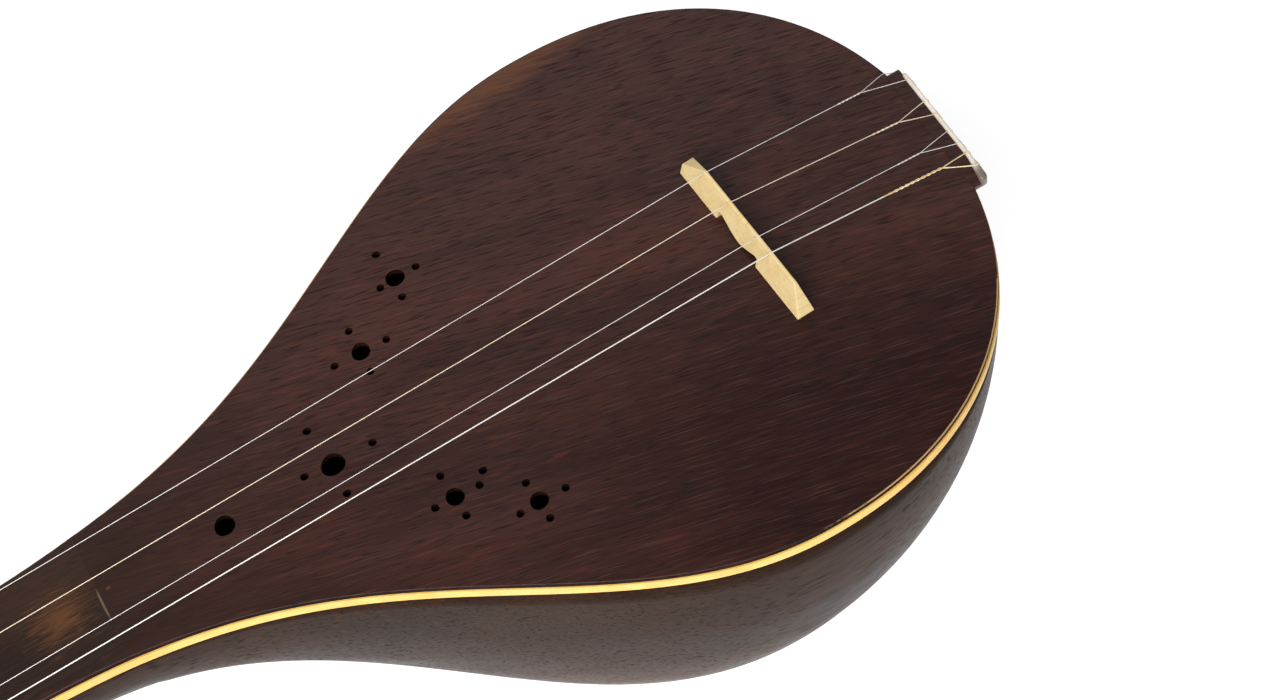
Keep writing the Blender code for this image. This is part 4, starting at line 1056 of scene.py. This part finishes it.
def make_string_tail(string):
    """From the bridge to a twisted splice, and the loop that goes round its tooth."""
    radius = STRING_RADIUS[string]
    crest = bridge_crest(string)
    strip = tail_strip()
    tooth_y = TOOTH_Y[STRINGS.index(string)]
    place, length, spread, pitch = SPLICES[string]
    split_x, split_y = (value * MM for value in place)
    fall = (split_x - crest.x) / (strip[1].x - crest.x)
    split = Vector((split_x, split_y, crest.z + (strip[1].z + radius * 0.8 - crest.z) * fall))
    splice = split + (crest - split).normalized() * length * MM
    strand_a = twist(splice, split, radius * 1.05, pitch * MM, 0)
    strand_b = twist(splice, split, radius * 1.05, pitch * MM, math.pi)
    legs = [
        loop_leg(split, tooth_y + offset * MM, strip, tooth_y, side, radius)
        for offset, side in zip(spread, (-1, 1))]
    loop = smooth_through([strand_a[-1], *legs[0], *reversed(legs[1]), strand_b[-1]], 4)
    straight = [crest.lerp(splice, i / 12) for i in range(12)]
    path = [crest + Vector((CREST_OVERLAP, 0, 0)), *straight, *strand_a, *loop[1:-1]]
    path += reversed(strand_b)
    item = add_wire(f"string_{string}_tail", string, path, BODY, f"string_{string}")
    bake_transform(item)


def make_string_length(string):
    """The sounding length, from the bridge over the nut to the peg's turns."""
    radius = STRING_RADIUS[string]
    crest = bridge_crest(string)
    back = BODY.inverted() @ NECK
    nut_low, nut_high = level_box("nut", NECK)
    y = NUT_Y[string]
    nut_top = nut_high.z - STRING_SUNK + radius * 0.7
    over_nut = [
        back @ Vector((nut_low.x + 0.2 * MM, y, nut_top)),
        back @ Vector((nut_low.x + 1.6 * MM, y, nut_top)),
        back @ Vector((nut_high.x - 0.6 * MM, y, nut_top - 0.25 * MM)),
    ]
    far = (over_nut[0] - crest) / STRAIGHT_STEPS
    path = [crest - Vector((CREST_OVERLAP, 0, 0))]
    path += [crest + far * i for i in range(STRAIGHT_STEPS)]
    path += over_nut + [back @ winding_touch(string)]
    item = add_wire(f"string_{string}_length", string, path, BODY, f"string_{string}")
    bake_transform(item)


def peg_seat(string):
    """A peg's own frame in the neck frame: +Z from where its shank leaves the head to its knob."""
    joint = JOINTS[f"peg_{string}_turn"]
    inverse = NECK.inverted()
    place = inverse @ Vector(joint["pos_m"])
    axis = (inverse.to_3x3() @ Vector(joint["axis"])).normalized()
    side = Vector((1, 0, 0))
    turn = Matrix((side, axis.cross(side), axis)).transposed().to_4x4()
    return Matrix.Translation(place) @ turn


def winding_touch(string):
    """Where the string meets its turns on the peg, in the neck frame."""
    seat = peg_seat(string)
    centre = seat @ Vector((0, 0, WINDING_HEIGHT))
    off = PEG_SHANK_RADIUS + 0.15 * MM + 2.6 * STRING_RADIUS[string]
    ways = {"treble": Vector((0, -1, 0)), "brass": Vector((0, 1, 0))}
    return centre + ways.get(string, Vector((0, 0, 1))) * off


# --- neck ---------------------------------------------------------------------------------
def neck_section(x, inset, steps=40):
    """A ring round the neck: its back, and a ridge between the bindings that fills the middle."""
    half = half_width(x) - inset
    top = BINDING_UNDER - inset / 8
    ridge = half + BINDING_PROUD - BINDING_DEPTH - GAP / 2
    ring = half_section(half, top, -depth(x) + inset, steps)
    ring += [(-ridge, top), (-ridge, BOARD_UNDER), (ridge, BOARD_UNDER), (ridge, top)]
    return [(x - JOINT_X, y, z) for y, z in ring]


SHOULDER_X = THROAT_X + 0.1 * MM   # the neck's own outside starts here, against the bowl
TENON_INSET = BOWL_WALL + 1.6 * MM


def make_neck():
    low, high = level_box("neck", NECK)
    rings = [neck_section(x, TENON_INSET) for x in evenly(low.x + JOINT_X, SHOULDER_X, 3)]
    rings += [neck_section(x, 0) for x in evenly(SHOULDER_X, high.x + JOINT_X, 40)]
    add_piece(
        "neck_shaft", loft("neck_shaft", rings), NECK, "neck", ["neck"], smooth=50)

    for name, side in (("bass", 1), ("treble", -1)):
        ends = (SHOULDER_X, high.x + JOINT_X)
        outer = [(x - JOINT_X, side * (half_width(x) + BINDING_SHOWN_PROUD)) for x in ends]
        inner = [(u, y - side * BINDING_DEPTH) for u, y in reversed(outer)]
        node = f"neck_binding_{name}"
        mesh = plate(node + "_strip", outer + inner, BOARD_UNDER, BOARD_UNDER - BINDING_UNDER)
        item = add_piece(
            node + "_strip", mesh, NECK, "binding", [node], smooth=30)
        add_bevel(item, 0.3 * MM, 2)

    stations = evenly(JOINT_X - EASING, THROAT_X, 20) + evenly(THROAT_X, NUT_X, 12)[1:]
    bass = [(x - JOINT_X, half_width(x)) for x in stations]
    treble = [(u, -y) for u, y in reversed(bass)]
    make_panel("fingerboard", bass + treble, NECK)


NUT_ROUND_X = 2.6 * MM             # how far its top is rounded off towards the head
NUT_ROUND_Z = 1.6 * MM
STRING_SUNK = 0.1 * MM             # the strings lie this far below the nut's top


def make_nut():
    """A bone block, flat towards the fingerboard and rounded off towards the head, with slots."""
    low, high = level_box("nut", NECK)
    section = [(low.x, low.z), (low.x, high.z - 0.3 * MM), (low.x + 0.3 * MM, high.z)]
    for step in range(9):
        angle = math.radians(90 - 80 * step / 8)
        section.append((high.x - NUT_ROUND_X * (1 - math.cos(angle)),
                        high.z - NUT_ROUND_Z * (1 - math.sin(angle))))
    section.append((high.x, low.z))
    rings = [[(x, y, z) for x, z in section] for y in (low.y, high.y)]
    item = add_piece(
        "nut_saddle", loft("nut_saddle", rings), NECK, "bone", ["nut"], smooth=30)
    add_bevel(item, 0.25 * MM, 2)
    slots = []
    for string in STRINGS:
        y = NUT_Y[string]
        top = high.z - STRING_SUNK + STRING_RADIUS[string] * 0.7
        path = [(low.x - 1 * MM, y, top), (high.x + 1 * MM, y, top - 0.3 * MM)]
        slots.append(tube("slot", path, STRING_RADIUS[string] * 1.3, 10))
    cut(item, join_meshes("slots", slots), NECK)


def fret_loop(x, off):
    """A closed path round the neck at x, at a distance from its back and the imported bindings.

    The shown bindings stand BINDING_SHOWN_PROUD out, so the gut is sunk a little into them.
    """
    half = half_width(x) + BINDING_PROUD + off
    corner = 0.5 * MM
    lower = half_section(half, RIM_Z, -depth(x) - off, 32)
    across = [(half - corner, off), (half - corner * 0.3, off - corner * 0.3)]
    path = [(0, off + 0.05 * MM), *across, (half, off - corner), *lower]
    path += [(-half, off - corner)] + [(-y, z) for y, z in reversed(across)]
    return path


def make_fret(name):
    """Four turns of gut round the neck, and the knot that ties them on the bass side."""
    low, high = level_box(name, NECK)
    middle = (low.x + high.x) / 2
    turns = []
    for step in (-1.5, -0.5, 0.5, 1.5):
        u = middle + step * FRET_STRAND * 2
        path = [(u, y, z) for y, z in fret_loop(u + JOINT_X, FRET_STRAND + FRET_ROOM)]
        turns.append(tube("turn", path, FRET_STRAND, 8, closed=True))
    half = half_width(middle + JOINT_X) + BINDING_PROUD
    for lean in (-1, 1):
        path = []
        for step in range(9):
            share = step / 8 * 2 - 1
            arch = 1.0 + 2.0 * (1 - share * share) + 0.4 * lean * share
            path.append((
                middle + share * KNOT_HALF_LENGTH, half + FRET_STRAND * arch,
                KNOT_Z + lean * share * KNOT_HALF_HEIGHT))
        turns.append(tube("knot", smooth_through(path, 3), FRET_STRAND * 0.95, 8))
    add_piece(
        f"{name}_gut", join_meshes(f"{name}_gut", turns), NECK, "gut", [name], name,
        ROUND)


# --- head and pegs ------------------------------------------------------------------------
def make_head():
    """The solid head, stepped down behind the nut, with a rounded end and reamed peg holes."""
    low, high = level_box("peg_head", NECK)
    # distance from the nut, half width, height of the back, height of the front, corner radius
    shape = (
        (0, 13.4, -25.2, -4.6, 3.5), (12, 13.4, -26.0, -5.2, 3.0), (36, 13.5, -26.5, -5.2, 2.8),
        (60, 13.6, -27.0, -5.2, 2.6), (80, 13.45, -27.1, -5.2, 2.6), (100, 13.2, -27.2, -5.2, 2.6),
        (106, 12.9, -27.1, -5.35, 2.8), (110, 12.4, -27.0, -5.6, 3.0),
        (113.5, 11.2, -26.0, -6.7, 3.2), (116, 9.6, -24.5, -8.2, 3.4),
    )
    rings = []
    for distance, half, back, front, radius in shape:
        points = rounded_outline(half * MM, back * MM, front * MM, (radius * MM, radius * MM), 10)
        rings.append([(low.x + distance * MM, y, z) for y, z in points])
    item = add_piece(
        "peg_head_block", loft("peg_head_block", rings), NECK, "neck", ["peg_head"])
    add_bevel(item, 1.0 * MM, 3, 30)
    bores = []
    for string in STRINGS:
        seat = peg_seat(string)
        ends = [seat @ Vector((0, 0, 3 * MM)), seat @ Vector((0, 0, -34 * MM))]
        radii = [PEG_SHANK_RADIUS + 0.35 * MM, PEG_TIP_RADIUS + 0.1 * MM]
        bores.append(tube("bore", ends, radii, 40))
    cut(item, join_meshes("bores", bores), NECK)


def peg_profile(tip_depth):
    """(radius, height) from the top of the finial down to the tip, a ring groove in the knob."""
    collar = PEG_NECK_LENGTH
    knob = collar + 4 * MM
    r = PEG_KNOB_RADIUS
    finial = smooth_through(
        [(0.01, 21.5, 0), (1.4, 21.45, 0), (2.7, 20.7, 0), (3.0, 19.6, 0), (2.4, 18.5, 0),
         (3.0, 17.9, 0)], 5)
    profile = [(0, knob + 21.5 * MM)]
    profile += [(point.x * MM, knob + point.y * MM) for point in finial[1:]]
    for step in range(25):
        angle = math.radians(72 - 144 * step / 24)
        groove = 0.35 * MM if step in (10, 14) else 0
        radius = r * max(math.cos(angle), 0.36) - groove
        profile.append((radius, knob + 9.5 * MM + 8.6 * MM * math.sin(angle)))
    neck = smooth_through(
        [(3.5, 0, 0), (3.7, -0.8, 0), (5.3, -1.5, 0), (5.65, -2.5, 0), (5.3, -3.5, 0),
         (4.3, -4.0, 0)], 4)
    profile += [(point.x * MM, knob + point.y * MM) for point in neck]
    profile += [
        (PEG_SHANK_RADIUS, collar - 0.6 * MM), (PEG_SHANK_RADIUS, 0),
        (PEG_TIP_RADIUS, -tip_depth + 0.6 * MM),
        (PEG_TIP_RADIUS - 0.25 * MM, -tip_depth + 0.15 * MM),
        (PEG_TIP_RADIUS - 0.7 * MM, -tip_depth), (0, -tip_depth),
    ]
    return profile


def make_peg(string):
    """A turned peg and its turns of string."""
    seat = peg_seat(string)
    body = f"peg_{string}"
    low, high = level_box(body, NECK)
    axis = seat.to_3x3() @ Vector((0, 0, 1))
    tip = min((corner - seat.translation).dot(axis) for corner in (low, high))
    add_piece(
        f"{body}_turned", turned(f"{body}_turned", peg_profile(-tip), 56), NECK @ seat,
        "front_peg" if axis.z > 0.5 else "side_peg", [body], body, smooth=35)
    radius = STRING_RADIUS[string]
    steps = 24
    path = []
    # six turns up the shank, then three back on top of them
    for turns, off, climb in ((6, 0.9, 2.04), (3, 2.6, -2.04)):
        out = PEG_SHANK_RADIUS + radius * off
        for i, (c, s) in enumerate(circle(steps, turns * steps + 1)):
            height = WINDING_HEIGHT + radius * climb * (i / steps - turns / 2)
            path.append((out * c, out * s, height))
    name = f"winding_{string}"
    add_wire(f"{name}_turns", string, path, NECK @ seat, name, body)


# --- floor and light ----------------------------------------------------------------------
FLOOR_HALF_SIZE = 60               # metres: its far edge stays out of the low side views


def make_floor():
    """A large pale floor under the instrument."""
    bm = bmesh.new()
    bmesh.ops.create_grid(bm, x_segments=1, y_segments=1, size=FLOOR_HALF_SIZE)
    mesh = to_mesh("floor", bm)
    floor = place_object("floor", mesh)
    finish = Finish("floor_finish")
    finish.set(
        base_color=(0.6, 0.6, 0.6, 1), roughness=0.9, emission_color=(1, 1, 1, 1),
        emission_strength=0.7)
    mesh.materials.append(finish.material)


def add_light(name, direction, distance, size, power):
    """A soft panel that looks at the middle of the body from one direction."""
    aim = BODY.translation
    data = bpy.data.lights.new(name, "AREA")
    data.shape = "RECTANGLE"
    data.size, data.size_y = size
    data.energy = power
    light = place_object(name, data)
    light.location = aim + Vector(direction).normalized() * distance
    light.rotation_euler = (aim - light.location).to_track_quat("-Z", "Y").to_euler()


def make_light():
    world = bpy.data.worlds.new("studio")
    world.use_nodes = True
    world.node_tree.nodes["Background"].inputs["Color"].default_value = (1, 1, 1, 1)
    world.node_tree.nodes["Background"].inputs["Strength"].default_value = 0.10
    bpy.context.scene.world = world
    add_light("key", (0.6, 0.5, 0.62), 2.0, (2.0, 1.5), 55)
    add_light("low", (0.2, 1.0, 0.15), 2.0, (1.5, 0.6), 4)
    add_light("fill", (-0.2, -1.0, 1.0), 1.6, (2.0, 0.9), 7.5)
    bpy.context.scene.view_settings.view_transform = "Standard"


# --- everything ---------------------------------------------------------------------------
SLOT_FINISH = {
    "bowl_wood": "bowl", "soundboard_wood": "soundboard", "binding_wood": "binding",
    "neck_wood": "neck", "fingerboard_wood": "fingerboard", "pale_wood": "bridge",
    "inner_wood": "inner", "bone": "bone", "peg_wood": "front_peg", "gut": "gut",
    "steel_wire": "steel", "brass_wire": "brass", "pin_metal": "pin",
}
for row in frame["record"]["subparts"]:
    materials = NODES[row["node"]].data.materials
    materials.clear()
    materials.append(FINISHES[SLOT_FINISH[row["material_slot"]]])

for make in (
        make_camera, make_light, make_floor, make_bowl, make_soundboard, make_body_binding,
        make_tailpiece, make_bridge, make_neck, make_nut, make_head):
    make()
for string_name in STRINGS:
    make_string_tail(string_name)
    make_string_length(string_name)
    make_peg(string_name)
for node_name in NODES:
    if node_name.startswith("fret_"):
        make_fret(node_name)
